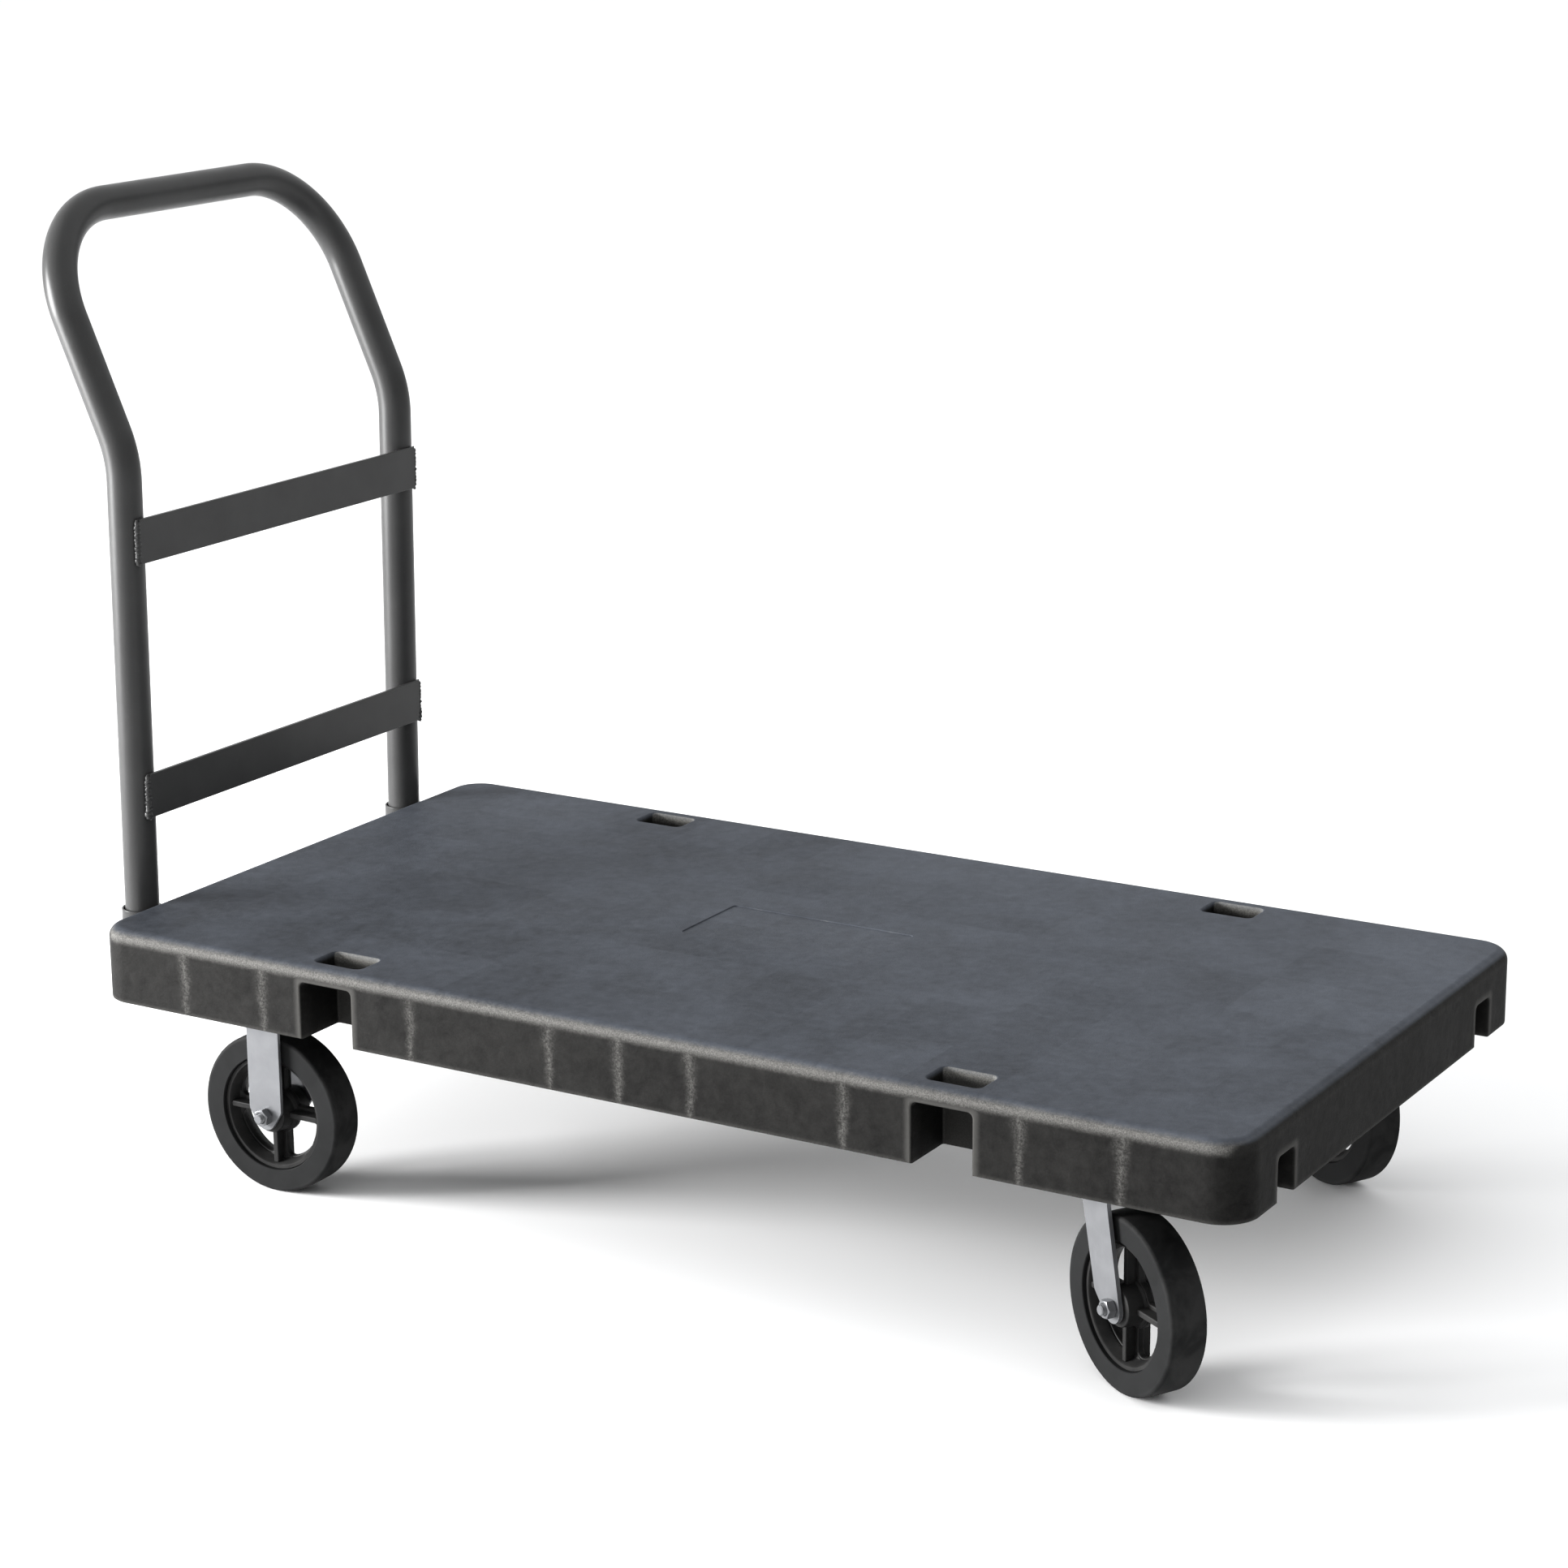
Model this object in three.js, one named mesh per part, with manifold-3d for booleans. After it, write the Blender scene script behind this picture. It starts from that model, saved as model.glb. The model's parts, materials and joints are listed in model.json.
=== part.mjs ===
// Platform cart with a moulded deck, a lift-out steel push handle, two rigid and two swivel casters.
// Millimetres, +Z up. The cart is built about the middle of its deck with the handle at the -X end,
// and the finished group is slid along X so that its origin is under the middle of the whole cart.

import * as THREE from "three";
import { mergeVertices } from "three/addons/utils/BufferGeometryUtils.js";
import Module from "manifold-3d";

const wasm = await Module();
wasm.setup();

// Driving dimensions -------------------------------------------------------------------------

const GAP = 0.3; // between pieces that touch
const HOLE_CLEARANCE = 0.7; // between a bolt and the wall of its hole

// Deck moulding
const DECK_LENGTH = 1524;
const DECK_WIDTH = 788;
const DECK_TOP = 319;
const SKIRT_BOTTOM = 228;
const CORNER_RADIUS = 44;
const EDGE_ROUND = 14;
const PANEL_CORNER = 6;
const TOP_PLATE = 10;
const SKIRT_WALL = 8;
const RIB = 5;
const RIBS_ACROSS = [0, 95, 190, 290, 397, 505, 624]; // from the middle, each on both sides
const RIBS_ALONG = [0, 130, 262];
const PAD_HEIGHT = 241; // underside of the caster pads, which are recessed between the ribs
const PAD_SIZE = { x: 128, y: 116 };

// Openings in the deck
const SIDE_NOTCH = { x: 411.5, width: 73, depth: 71, top: 298 };
const END_NOTCH = { y: 282, width: 42, depth: 72, top: 277 };
const NOTCH_WALL = 7;
const STRAP_SLOT = { x: 411.5, y: 348, length: 67, width: 44, corner: 8 };
const NAME_PANEL = { x: -3, y: 3, length: 252, width: 124, depth: 1.2 };

// Handle
const POST_X = -788.5;
const POST_Y = 273;
const TILT = THREE.MathUtils.degToRad(0.85); // the handle's play lets it lean towards the deck
const TILT_Z = 270; // height in the sockets about which it leans
const TUBE_RADIUS = 21.2;
const TUBE_WALL = 2.3;
const POST_FOOT = 232.3;
const LEAN = THREE.MathUtils.degToRad(24.65); // from the posts' own direction
const LEAN_Z = 876.7; // where the post's line meets the leaning line
const LEAN_BEND = 141;
const LEAN_LENGTH = 310.6;
const CORNER_BEND = 132.5;
const BAR = { height: 55.5, thickness: 5, half: 279, corner: 2, upper: 775.3, lower: 456.2 };

// Handle sockets
const SOCKET = { radius: 25.2, bore: 22.7, bottom: 222, top: 308, chamfer: 1 };
const STOP_PIN = { radius: 3, z: 229, past: 1 };
const STRAP = { width: 36, thickness: 6.35, end: 692, holes: [740, 711] };
const SOCKET_BOLT = { radius: 5, head: 6.4, across: 16, tip: 300 };

// Casters
const RIGID = { x: -544, y: 318 };
const SWIVEL = { x: 589, y: 321, trail: 35, turned: THREE.MathUtils.degToRad(30.5) };
const WHEEL_RADIUS = 100;
const WHEEL_WIDTH = 46;
const TREAD_INNER = 72;
const TREAD_SHOULDER = 4;
const TREAD_SIDES = 32;
const HUB = { radius: 23, half: 26 };
const BEARING = { outer: 12.2, bore: 6.5, half: 27.1 };
const WEB_HALF = 4;
const DRAFT = 1.5; // how far the hub and the rim slope in towards the web
const RIM = { inner: 63, half: 18 };
const SPOKE = { width: 9, half: 16, rooted: 2 };
const WINDOW = { inner: 28, outer: 60, toSpoke: 4 };
const PLATE = { x: 114.3, y: 101.6, thickness: 6.35, corner: 8 };
const PLATE_BOLT = { dx: 46, dy: 38.3, radius: 4.6, head: 5.6, across: 14.3, tip: 262 };
const HOLE_SPARE = 3; // how much deeper than its bolt a hole in the deck is
const FORK = { inner: 27.5, steel: 5, crown: 5 };
const RIGID_LEG = { half: 24, shoulder: 107, tip: 14, tipZ: 96 };
// The leg is a strip about a slanting middle line, its lower front corner cut away to a round tip.
const SWIVEL_LEG = { half: 24.5, top: -4, shoulderX: 1.5, shoulder: 110, tip: 15, tipZ: 97.5 };
const CROWN = { reach: 34.5, x: 1, corner: 14 };
const AXLE = { radius: 6, head: 7.5, nut: 10, across: 19, past: 5 };
const RACE = { outer: 34, bottom: 222, lowChamfer: 4, highChamfer: 3 };
const KINGPIN = { radius: 8, head: 15, headBottom: 208 };

// Worked-out heights shared by several pieces
const PLATE_TOP = PAD_HEIGHT - GAP;
const PLATE_BOTTOM = PLATE_TOP - PLATE.thickness;
const CROWN_TOP = RACE.bottom - GAP;
const CROWN_BOTTOM = CROWN_TOP - FORK.crown;
const FORK_OUTER = FORK.inner + FORK.steel;
const HALF_LENGTH = DECK_LENGTH / 2;
const HALF_WIDTH = DECK_WIDTH / 2;
const CEILING = DECK_TOP - TOP_PLATE;
const BELOW = SKIRT_BOTTOM - 5; // where cuts made from underneath start
const CLEAR = 1; // how far one body runs past the face where it cuts or joins another

// Materials ----------------------------------------------------------------------------------

function material(color, roughness, metalness) {
  return new THREE.MeshStandardMaterial({ color, roughness, metalness });
}

const DECK_PLASTIC = material(0x4a4d54, 0.6, 0);
const GREY_PAINT = material(0x5e5e5e, 0.4, 0.2);
const ZINC = material(0x9fa1a5, 0.35, 0.9);
const BLACK_CORE = material(0x17171a, 0.55, 0.1);
const BLACK_RUBBER = material(0x232326, 0.75, 0);

// Solid helpers ------------------------------------------------------------------------------

// A closed three.js geometry as a manifold-3d solid.
function solid(geometry) {
  const bare = new THREE.BufferGeometry();
  bare.setAttribute("position", geometry.getAttribute("position"));
  if (geometry.index) bare.setIndex(geometry.index);
  const merged = mergeVertices(bare, 1e-4);
  const mesh = new wasm.Mesh({
    numProp: 3,
    vertProperties: new Float32Array(merged.attributes.position.array),
    triVerts: new Uint32Array(merged.index.array),
  });
  return new wasm.Manifold(mesh);
}

// A manifold-3d solid as a three.js geometry.
function geometryOf(manifold) {
  const mesh = manifold.getMesh();
  const geometry = new THREE.BufferGeometry();
  geometry.setAttribute("position", new THREE.BufferAttribute(mesh.vertProperties, 3));
  geometry.setIndex(new THREE.BufferAttribute(mesh.triVerts, 1));
  return geometry;
}

const join = (solids) => solids.reduce((sum, next) => sum.add(next));

// A box between two corners.
function block(low, high) {
  const size = high.map((value, i) => value - low[i]);
  const middle = high.map((value, i) => (value + low[i]) / 2);
  return solid(new THREE.BoxGeometry(...size).translate(...middle));
}

// An upright round bar.
function bar(radius, bottom, top, x = 0, y = 0, sides = 14) {
  const geometry = new THREE.CylinderGeometry(radius, radius, top - bottom, sides);
  return solid(geometry.rotateX(Math.PI / 2).translate(x, y, (top + bottom) / 2));
}

// A round bar along Y, with six sides when it is a hexagon.
function crossBar(radius, from, to, sides = 12) {
  const geometry = new THREE.CylinderGeometry(radius, radius, to - from, sides);
  return solid(geometry.translate(0, (from + to) / 2, 0));
}

// A closed [radius, height] outline turned about the Y axis, its faces pointing out.
function turned(outline, sides, start = 0) {
  const points = outline.map(([radius, height]) => new THREE.Vector2(radius, height));
  const clockwise = THREE.ShapeUtils.area(points) < 0;
  if (clockwise) points.reverse();
  return new THREE.LatheGeometry(points, sides, start);
}

const ring = (outline, sides, start) => turned([...outline, outline[0]], sides, start);

// A flat outline pushed up along Z.
function prism(shape, bottom, top, curveSegments = 3) {
  const options = { depth: top - bottom, bevelEnabled: false, curveSegments };
  return new THREE.ExtrudeGeometry(shape, options).translate(0, 0, bottom);
}

function roundedRectangle(length, width, radius, x = 0, y = 0) {
  const [left, right] = [x - length / 2, x + length / 2];
  const [low, high] = [y - width / 2, y + width / 2];
  const shape = new THREE.Shape();
  shape.moveTo(left + radius, low);
  shape.lineTo(right - radius, low);
  shape.absarc(right - radius, low + radius, radius, -Math.PI / 2, 0, false);
  shape.lineTo(right, high - radius);
  shape.absarc(right - radius, high - radius, radius, 0, Math.PI / 2, false);
  shape.lineTo(left + radius, high);
  shape.absarc(left + radius, high - radius, radius, Math.PI / 2, Math.PI, false);
  shape.lineTo(left, low + radius);
  shape.absarc(left + radius, low + radius, radius, Math.PI, 1.5 * Math.PI, false);
  return shape;
}

const roundHole = (radius, x = 0, y = 0) =>
  new THREE.Path().absarc(x, y, radius, 0, 2 * Math.PI, true);

function part(name, geometry, finish) {
  const mesh = new THREE.Mesh(geometry, finish);
  mesh.name = name;
  return mesh;
}

// Deck ---------------------------------------------------------------------------------------

const bothSigns = (values) => values.flatMap((value) => (value ? [-value, value] : [0]));

// The outer body: a rounded rectangle with a rolled top edge, cut off flat at the skirt.
function deckSlab() {
  const outline = roundedRectangle(DECK_LENGTH, DECK_WIDTH, CORNER_RADIUS);
  const depth = DECK_TOP - SKIRT_BOTTOM;
  const rolled = new THREE.ExtrudeGeometry(outline, {
    depth,
    bevelThickness: EDGE_ROUND,
    bevelSize: EDGE_ROUND,
    bevelOffset: -EDGE_ROUND,
    bevelSegments: 2,
    curveSegments: 4,
  });
  rolled.translate(0, 0, SKIRT_BOTTOM - EDGE_ROUND);
  const [reachX, reachY] = [HALF_LENGTH + CLEAR, HALF_WIDTH + CLEAR];
  const kept = block([-reachX, -reachY, SKIRT_BOTTOM], [reachX, reachY, DECK_TOP + CLEAR]);
  return solid(rolled).intersect(kept);
}

// The spaces between the ribs, open at the bottom.
function ribCells() {
  const lines = (ribs, edge) => {
    const middles = bothSigns(ribs).sort((a, b) => a - b);
    const starts = [-edge, ...middles.map((value) => value + RIB / 2)];
    const ends = [...middles.map((value) => value - RIB / 2), edge];
    return starts.map((start, i) => [start, ends[i]]);
  };
  const across = lines(RIBS_ACROSS, HALF_LENGTH - SKIRT_WALL);
  const along = lines(RIBS_ALONG, HALF_WIDTH - SKIRT_WALL);
  const cells = across.flatMap(([x0, x1]) =>
    along.map(([y0, y1]) => block([x0, y0, BELOW], [x1, y1, CEILING])),
  );
  const inside = roundedRectangle(
    DECK_LENGTH - 2 * SKIRT_WALL,
    DECK_WIDTH - 2 * SKIRT_WALL,
    CORNER_RADIUS - SKIRT_WALL,
  );
  const insideBlock = solid(prism(inside, BELOW - CLEAR, CEILING + CLEAR));
  return join(cells).intersect(insideBlock);
}

const casterPlaces = [
  { x: RIGID.x, y: RIGID.y },
  { x: SWIVEL.x, y: SWIVEL.y },
];

// The upright block of one caster's pad between two heights.
function padBlock({ x, y }, side, low, high) {
  const [dx, dy] = [PAD_SIZE.x / 2, PAD_SIZE.y / 2];
  return block([x - dx, side * y - dy, low], [x + dx, side * y + dy, high]);
}

// Solid material left standing in the cells: caster pads and the walls round the notches.
function keptBlocks() {
  const [low, high] = [BELOW - CLEAR, CEILING + CLEAR];
  const blocks = [];
  for (const side of [-1, 1]) {
    for (const place of casterPlaces) {
      blocks.push(padBlock(place, side, low, high));
    }
    for (const end of [-1, 1]) {
      const halfSide = SIDE_NOTCH.width / 2 + NOTCH_WALL;
      const inner = HALF_WIDTH - SIDE_NOTCH.depth - NOTCH_WALL;
      const [yNear, yFar] = [side * inner, side * HALF_WIDTH].sort((a, b) => a - b);
      const x = end * SIDE_NOTCH.x;
      blocks.push(block([x - halfSide, yNear, low], [x + halfSide, yFar, high]));
      const halfEnd = END_NOTCH.width / 2 + NOTCH_WALL;
      const start = HALF_LENGTH - END_NOTCH.depth - NOTCH_WALL;
      const [xNear, xFar] = [end * start, end * HALF_LENGTH].sort((a, b) => a - b);
      const y = side * END_NOTCH.y;
      blocks.push(block([xNear, y - halfEnd, low], [xFar, y + halfEnd, high]));
    }
  }
  return join(blocks);
}

const plateCorners = [-1, 1].flatMap((i) =>
  [-1, 1].map((j) => [i * PLATE_BOLT.dx, j * PLATE_BOLT.dy]),
);

// A blind hole in the deck, a little deeper than the bolt that it takes.
function boltHole(size, x, y) {
  return bar(size.radius + HOLE_CLEARANCE, BELOW, size.tip + HOLE_SPARE, x, y, 10);
}

// The notches, strap slots, name panel and bolt holes cut from the deck.
function deckCuts() {
  const cuts = [];
  for (const side of [-1, 1]) {
    for (const end of [-1, 1]) {
      const x = end * SIDE_NOTCH.x;
      const half = SIDE_NOTCH.width / 2;
      const [y0, y1] = [side * (HALF_WIDTH - SIDE_NOTCH.depth), side * (HALF_WIDTH + CLEAR)]
        .sort((a, b) => a - b);
      cuts.push(block([x - half, y0, BELOW], [x + half, y1, SIDE_NOTCH.top]));
      const slot = roundedRectangle(
        STRAP_SLOT.length,
        STRAP_SLOT.width,
        STRAP_SLOT.corner,
        end * STRAP_SLOT.x,
        side * STRAP_SLOT.y,
      );
      cuts.push(solid(prism(slot, SIDE_NOTCH.top - CLEAR, DECK_TOP + CLEAR, 2)));
      const y = side * END_NOTCH.y;
      const halfEnd = END_NOTCH.width / 2;
      const [x0, x1] = [end * (HALF_LENGTH - END_NOTCH.depth), end * (HALF_LENGTH + CLEAR)]
        .sort((a, b) => a - b);
      cuts.push(block([x0, y - halfEnd, BELOW], [x1, y + halfEnd, END_NOTCH.top]));
    }
    for (const place of casterPlaces) {
      const { x, y } = place;
      cuts.push(padBlock(place, side, BELOW, PAD_HEIGHT));
      for (const [dx, dy] of plateCorners) {
        cuts.push(boltHole(PLATE_BOLT, x + dx, side * y + dy));
      }
    }
    for (const holeX of STRAP.holes) {
      cuts.push(boltHole(SOCKET_BOLT, -holeX, side * END_NOTCH.y));
    }
  }
  const { length, width, depth, x, y } = NAME_PANEL;
  const panel = roundedRectangle(length, width, PANEL_CORNER, x, y);
  cuts.push(solid(prism(panel, DECK_TOP - depth, DECK_TOP + CLEAR, 1)));
  return join(cuts);
}

function deck() {
  const hollow = ribCells().subtract(keptBlocks());
  const body = deckSlab().subtract(hollow).subtract(deckCuts());
  return part("deck", geometryOf(body), DECK_PLASTIC);
}

// Fasteners ----------------------------------------------------------------------------------

const hexRadius = (acrossFlats) => acrossFlats / Math.sqrt(3);

// A hexagon-head bolt that points up, its head's top face at the given height.
function uprightBolt(name, size, seat) {
  const head = bar(hexRadius(size.across), seat - size.head, seat, 0, 0, 6);
  const shank = bar(size.radius, seat - CLEAR, size.tip, 0, 0, 10);
  return part(name, geometryOf(head.add(shank)), ZINC);
}

// Handle -------------------------------------------------------------------------------------

// A path given by points and tangents, walked one station at a time.
class StationPath extends THREE.Curve {
  constructor(stations) {
    super();
    this.stations = stations;
  }
  station(u) {
    return this.stations[Math.round(u * (this.stations.length - 1))];
  }
  getPoint(u) {
    return this.station(u).point.clone();
  }
  getPointAt(u) {
    return this.getPoint(u);
  }
  getTangentAt(u) {
    return this.station(u).tangent.clone();
  }
}

// Stations of an arc that leaves `from` along `start` and ends along `end`.
function arcStations(from, start, end, radius, steps) {
  const angle = start.angleTo(end);
  const inward = end.clone().addScaledVector(start, -Math.cos(angle)).normalize();
  const stations = [];
  for (let i = 0; i <= steps; i += 1) {
    const turn = (angle * i) / steps;
    const point = from.clone()
      .addScaledVector(start, radius * Math.sin(turn))
      .addScaledVector(inward, radius * (1 - Math.cos(turn)));
    const tangent = start.clone().multiplyScalar(Math.cos(turn));
    tangent.addScaledVector(inward, Math.sin(turn));
    stations.push({ point, tangent });
  }
  return stations;
}

// The hoop's stations from the foot of one post, over the top bar, to the foot of the other.
// The handle is drawn upright about X = 0 and leaned as a whole afterwards.
function handleStations() {
  const up = new THREE.Vector3(0, 0, 1);
  const lean = new THREE.Vector3(-Math.sin(LEAN), 0, Math.cos(LEAN));
  const inward = new THREE.Vector3(0, 1, 0);
  const tangentLength = LEAN_BEND * Math.tan(LEAN / 2);
  const foot = new THREE.Vector3(0, -POST_Y, POST_FOOT);
  const bendStart = new THREE.Vector3(0, -POST_Y, LEAN_Z - tangentLength);
  const bend = arcStations(bendStart, up, lean, LEAN_BEND, 4);
  const straight = LEAN_LENGTH - CORNER_BEND - tangentLength;
  const cornerStart = bend.at(-1).point.clone().addScaledVector(lean, straight);
  const corner = arcStations(cornerStart, lean, inward, CORNER_BEND, 7);
  const half = [{ point: foot, tangent: up }, ...bend, ...corner];
  const mirrored = half.toReversed().map(({ point, tangent }) => ({
    point: new THREE.Vector3(point.x, -point.y, point.z),
    tangent: new THREE.Vector3(-tangent.x, tangent.y, -tangent.z),
  }));
  return [...half, ...mirrored];
}

function handleTube() {
  const stations = handleStations();
  const section = new THREE.Shape().absarc(0, 0, TUBE_RADIUS, 0, 2 * Math.PI, false);
  section.holes.push(roundHole(TUBE_RADIUS - TUBE_WALL));
  const hoop = new THREE.ExtrudeGeometry(section, {
    steps: stations.length - 1,
    curveSegments: 8,
    extrudePath: new StationPath(stations),
  });
  return part("handle_tube", hoop, GREY_PAINT);
}

// A flat bar across the posts, on the side that faces the deck.
function crossbar(name, middle) {
  const outline = roundedRectangle(2 * BAR.half, BAR.height, BAR.corner);
  const flat = prism(outline, 0, BAR.thickness, 1);
  const mesh = part(name, flat.rotateX(Math.PI / 2).rotateZ(Math.PI / 2), GREY_PAINT);
  mesh.position.set(TUBE_RADIUS + GAP, 0, middle);
  return mesh;
}

function handle() {
  const upright = new THREE.Group();
  upright.add(handleTube());
  upright.add(crossbar("crossbar_upper", BAR.upper));
  upright.add(crossbar("crossbar_lower", BAR.lower));
  upright.position.z = -TILT_Z;
  const group = new THREE.Group();
  group.add(upright);
  group.position.set(POST_X, 0, TILT_Z);
  group.rotation.y = TILT;
  return group;
}

// Handle sockets -----------------------------------------------------------------------------

function socket(side) {
  const group = new THREE.Group();
  const sign = side === "left" ? 1 : -1;
  group.position.set(POST_X, sign * POST_Y, 0);

  const { radius, bore, bottom, top, chamfer } = SOCKET;
  const wall = [
    [bore, bottom], [radius, bottom],
    [radius, top - chamfer], [radius - chamfer, top], [bore, top],
  ];
  const tube = solid(ring(wall, 20).rotateX(Math.PI / 2));
  const holeReach = radius + CLEAR;
  const pinHole = crossBar(STOP_PIN.radius + HOLE_CLEARANCE, -holeReach, holeReach, 12)
    .translate([0, 0, STOP_PIN.z]);
  group.add(part(`socket_tube_${side}`, geometryOf(tube.subtract(pinHole)), GREY_PAINT));

  const pinReach = radius + STOP_PIN.past;
  const pin = crossBar(STOP_PIN.radius, -pinReach, pinReach, 12);
  const pinMesh = part(`socket_pin_${side}`, geometryOf(pin), ZINC);
  pinMesh.position.z = STOP_PIN.z;
  group.add(pinMesh);

  const strapTop = END_NOTCH.top - GAP;
  const strapY = sign * (END_NOTCH.y - POST_Y);
  const strapBottom = strapTop - STRAP.thickness;
  const inner = -STRAP.end - POST_X;
  const half = STRAP.width / 2;
  let strap = block([0, strapY - half, strapBottom], [inner, strapY + half, strapTop]);
  strap = strap.subtract(bar(radius + GAP, bottom, top, 0, 0, 20));
  for (const holeX of STRAP.holes) {
    const x = -holeX - POST_X;
    const hole = SOCKET_BOLT.radius + HOLE_CLEARANCE;
    strap = strap.subtract(bar(hole, bottom, top, x, strapY, 12));
    const number = STRAP.holes.indexOf(holeX) + 1;
    const bolt = uprightBolt(`socket_bolt_${side}_${number}`, SOCKET_BOLT, strapBottom - GAP);
    bolt.position.set(x, strapY, 0);
    group.add(bolt);
  }
  group.add(part(`socket_strap_${side}`, geometryOf(strap), GREY_PAINT));
  return group;
}

// Wheels -------------------------------------------------------------------------------------

// A quarter-round corner of a [radius, width] outline.
function shoulder(radius, width, round, from) {
  return [0, 1, 2].map((i) => {
    const angle = from + (i / 2) * (Math.PI / 2);
    return [radius + round * Math.cos(angle), width + round * Math.sin(angle)];
  });
}

// The rubber ring, its facets' flats at the wheel's radius and one of them facing down.
function tread(name) {
  const half = WHEEL_WIDTH / 2;
  const halfStep = Math.PI / TREAD_SIDES;
  const radius = WHEEL_RADIUS / Math.cos(halfStep) - TREAD_SHOULDER;
  const side = half - TREAD_SHOULDER;
  const outline = [
    [TREAD_INNER / Math.cos(halfStep), -half],
    ...shoulder(radius, -side, TREAD_SHOULDER, -Math.PI / 2),
    ...shoulder(radius, side, TREAD_SHOULDER, 0),
    [TREAD_INNER / Math.cos(halfStep), half],
  ];
  return part(name, ring(outline, TREAD_SIDES, halfStep), BLACK_RUBBER);
}

// One of four rounded windows between the spokes, as a flat outline.
function windowShape(quarter) {
  const { inner, outer, toSpoke } = WINDOW;
  const clear = SPOKE.width / 2 + toSpoke;
  const middle = quarter * (Math.PI / 2) + Math.PI / 4;
  const spread = (radius) => Math.PI / 4 - Math.asin(clear / radius);
  const shape = new THREE.Shape();
  shape.absarc(0, 0, outer, middle - spread(outer), middle + spread(outer), false);
  shape.absarc(0, 0, inner, middle + spread(inner), middle - spread(inner), true);
  return shape;
}

// Hub, web, rim and four ribbed spokes, turned and cut about the Y axis.
function wheelCore(name) {
  const bore = BEARING.outer + GAP;
  const outer = TREAD_INNER - GAP;
  const [hubFoot, rimFoot] = [HUB.radius + DRAFT, RIM.inner - DRAFT];
  const outline = [
    [bore, -HUB.half], [HUB.radius, -HUB.half], [hubFoot, -WEB_HALF],
    [rimFoot, -WEB_HALF], [RIM.inner, -RIM.half], [outer, -RIM.half],
    [outer, RIM.half], [RIM.inner, RIM.half], [rimFoot, WEB_HALF],
    [hubFoot, WEB_HALF], [HUB.radius, HUB.half], [bore, HUB.half],
  ];
  let core = solid(ring(outline, 20));
  for (let quarter = 0; quarter < 4; quarter += 1) {
    const hole = prism(windowShape(quarter), -RIM.half, RIM.half, 2).rotateX(-Math.PI / 2);
    core = core.subtract(solid(hole));
    const length = RIM.inner - HUB.radius + 2 * SPOKE.rooted;
    const spoke = new THREE.BoxGeometry(length, 2 * SPOKE.half, SPOKE.width)
      .translate((RIM.inner + HUB.radius) / 2, 0, 0)
      .rotateY(quarter * (Math.PI / 2));
    core = core.add(solid(spoke));
  }
  return part(name, geometryOf(core), BLACK_CORE);
}

function bearing(name) {
  const { outer, bore, half } = BEARING;
  return part(name, ring([[bore, -half], [outer, -half], [outer, half], [bore, half]], 16), ZINC);
}

function wheel(place) {
  const group = new THREE.Group();
  group.add(tread(`tread_${place}`));
  group.add(wheelCore(`wheel_core_${place}`));
  group.add(bearing(`wheel_bearing_${place}`));
  return group;
}

// The axle bolt and its nut; the nut is on the side given by `nutSide`, +1 or -1 along Y.
function axle(place, nutSide) {
  const group = new THREE.Group();
  const seat = FORK_OUTER + GAP;
  const hexagon = hexRadius(AXLE.across);
  const shank = crossBar(AXLE.radius, -seat - CLEAR, seat + AXLE.nut + AXLE.past, 12);
  const head = crossBar(hexagon, -seat - AXLE.head, -seat, 6);
  const bolt = part(`axle_bolt_${place}`, geometryOf(shank.add(head)), ZINC);
  const nutBody = crossBar(hexagon, seat, seat + AXLE.nut, 6);
  const nutHole = crossBar(AXLE.radius + HOLE_CLEARANCE, 0, 2 * seat, 12);
  const nut = part(`axle_nut_${place}`, geometryOf(nutBody.subtract(nutHole)), ZINC);
  group.add(bolt, nut);
  if (nutSide < 0) group.rotation.z = Math.PI;
  return group;
}

// Caster frames ------------------------------------------------------------------------------

function plateShape() {
  const shape = roundedRectangle(PLATE.x, PLATE.y, PLATE.corner);
  for (const [dx, dy] of plateCorners) {
    shape.holes.push(roundHole(PLATE_BOLT.radius + HOLE_CLEARANCE, dx, dy));
  }
  return shape;
}

// The pair of flat legs beside a wheel, cut from an outline in the X-Z plane.
function legs(outline) {
  const sheet = prism(outline, 0, FORK.steel, 4).rotateX(Math.PI / 2);
  const near = solid(sheet.clone().translate(0, FORK_OUTER, 0));
  const far = solid(sheet.clone().translate(0, -FORK.inner, 0));
  const reach = FORK_OUTER + CLEAR;
  const hole = crossBar(AXLE.radius + HOLE_CLEARANCE, -reach, reach, 12);
  return { pair: near.add(far), hole };
}

// The angle at which a line from an outside point touches a circle, on the side that `sense` gives.
function touchAngle(x, z, centreX, centreZ, radius, sense) {
  const [dx, dz] = [x - centreX, z - centreZ];
  return Math.atan2(dz, dx) + sense * Math.acos(radius / Math.hypot(dx, dz));
}

// Straight-sided leg that tapers below the axle to a round tip.
function rigidLegShape() {
  const { half, shoulder: shoulderZ, tip, tipZ } = RIGID_LEG;
  const hidden = PLATE_BOTTOM - CLEAR;
  const start = touchAngle(-half, shoulderZ, 0, tipZ, tip, 1);
  const end = touchAngle(half, shoulderZ, 0, tipZ, tip, -1);
  const shape = new THREE.Shape();
  shape.moveTo(-half, hidden);
  shape.lineTo(-half, shoulderZ);
  shape.absarc(0, tipZ, tip, start, end, false);
  shape.lineTo(half, shoulderZ);
  shape.lineTo(half, hidden);
  return shape;
}

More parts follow.
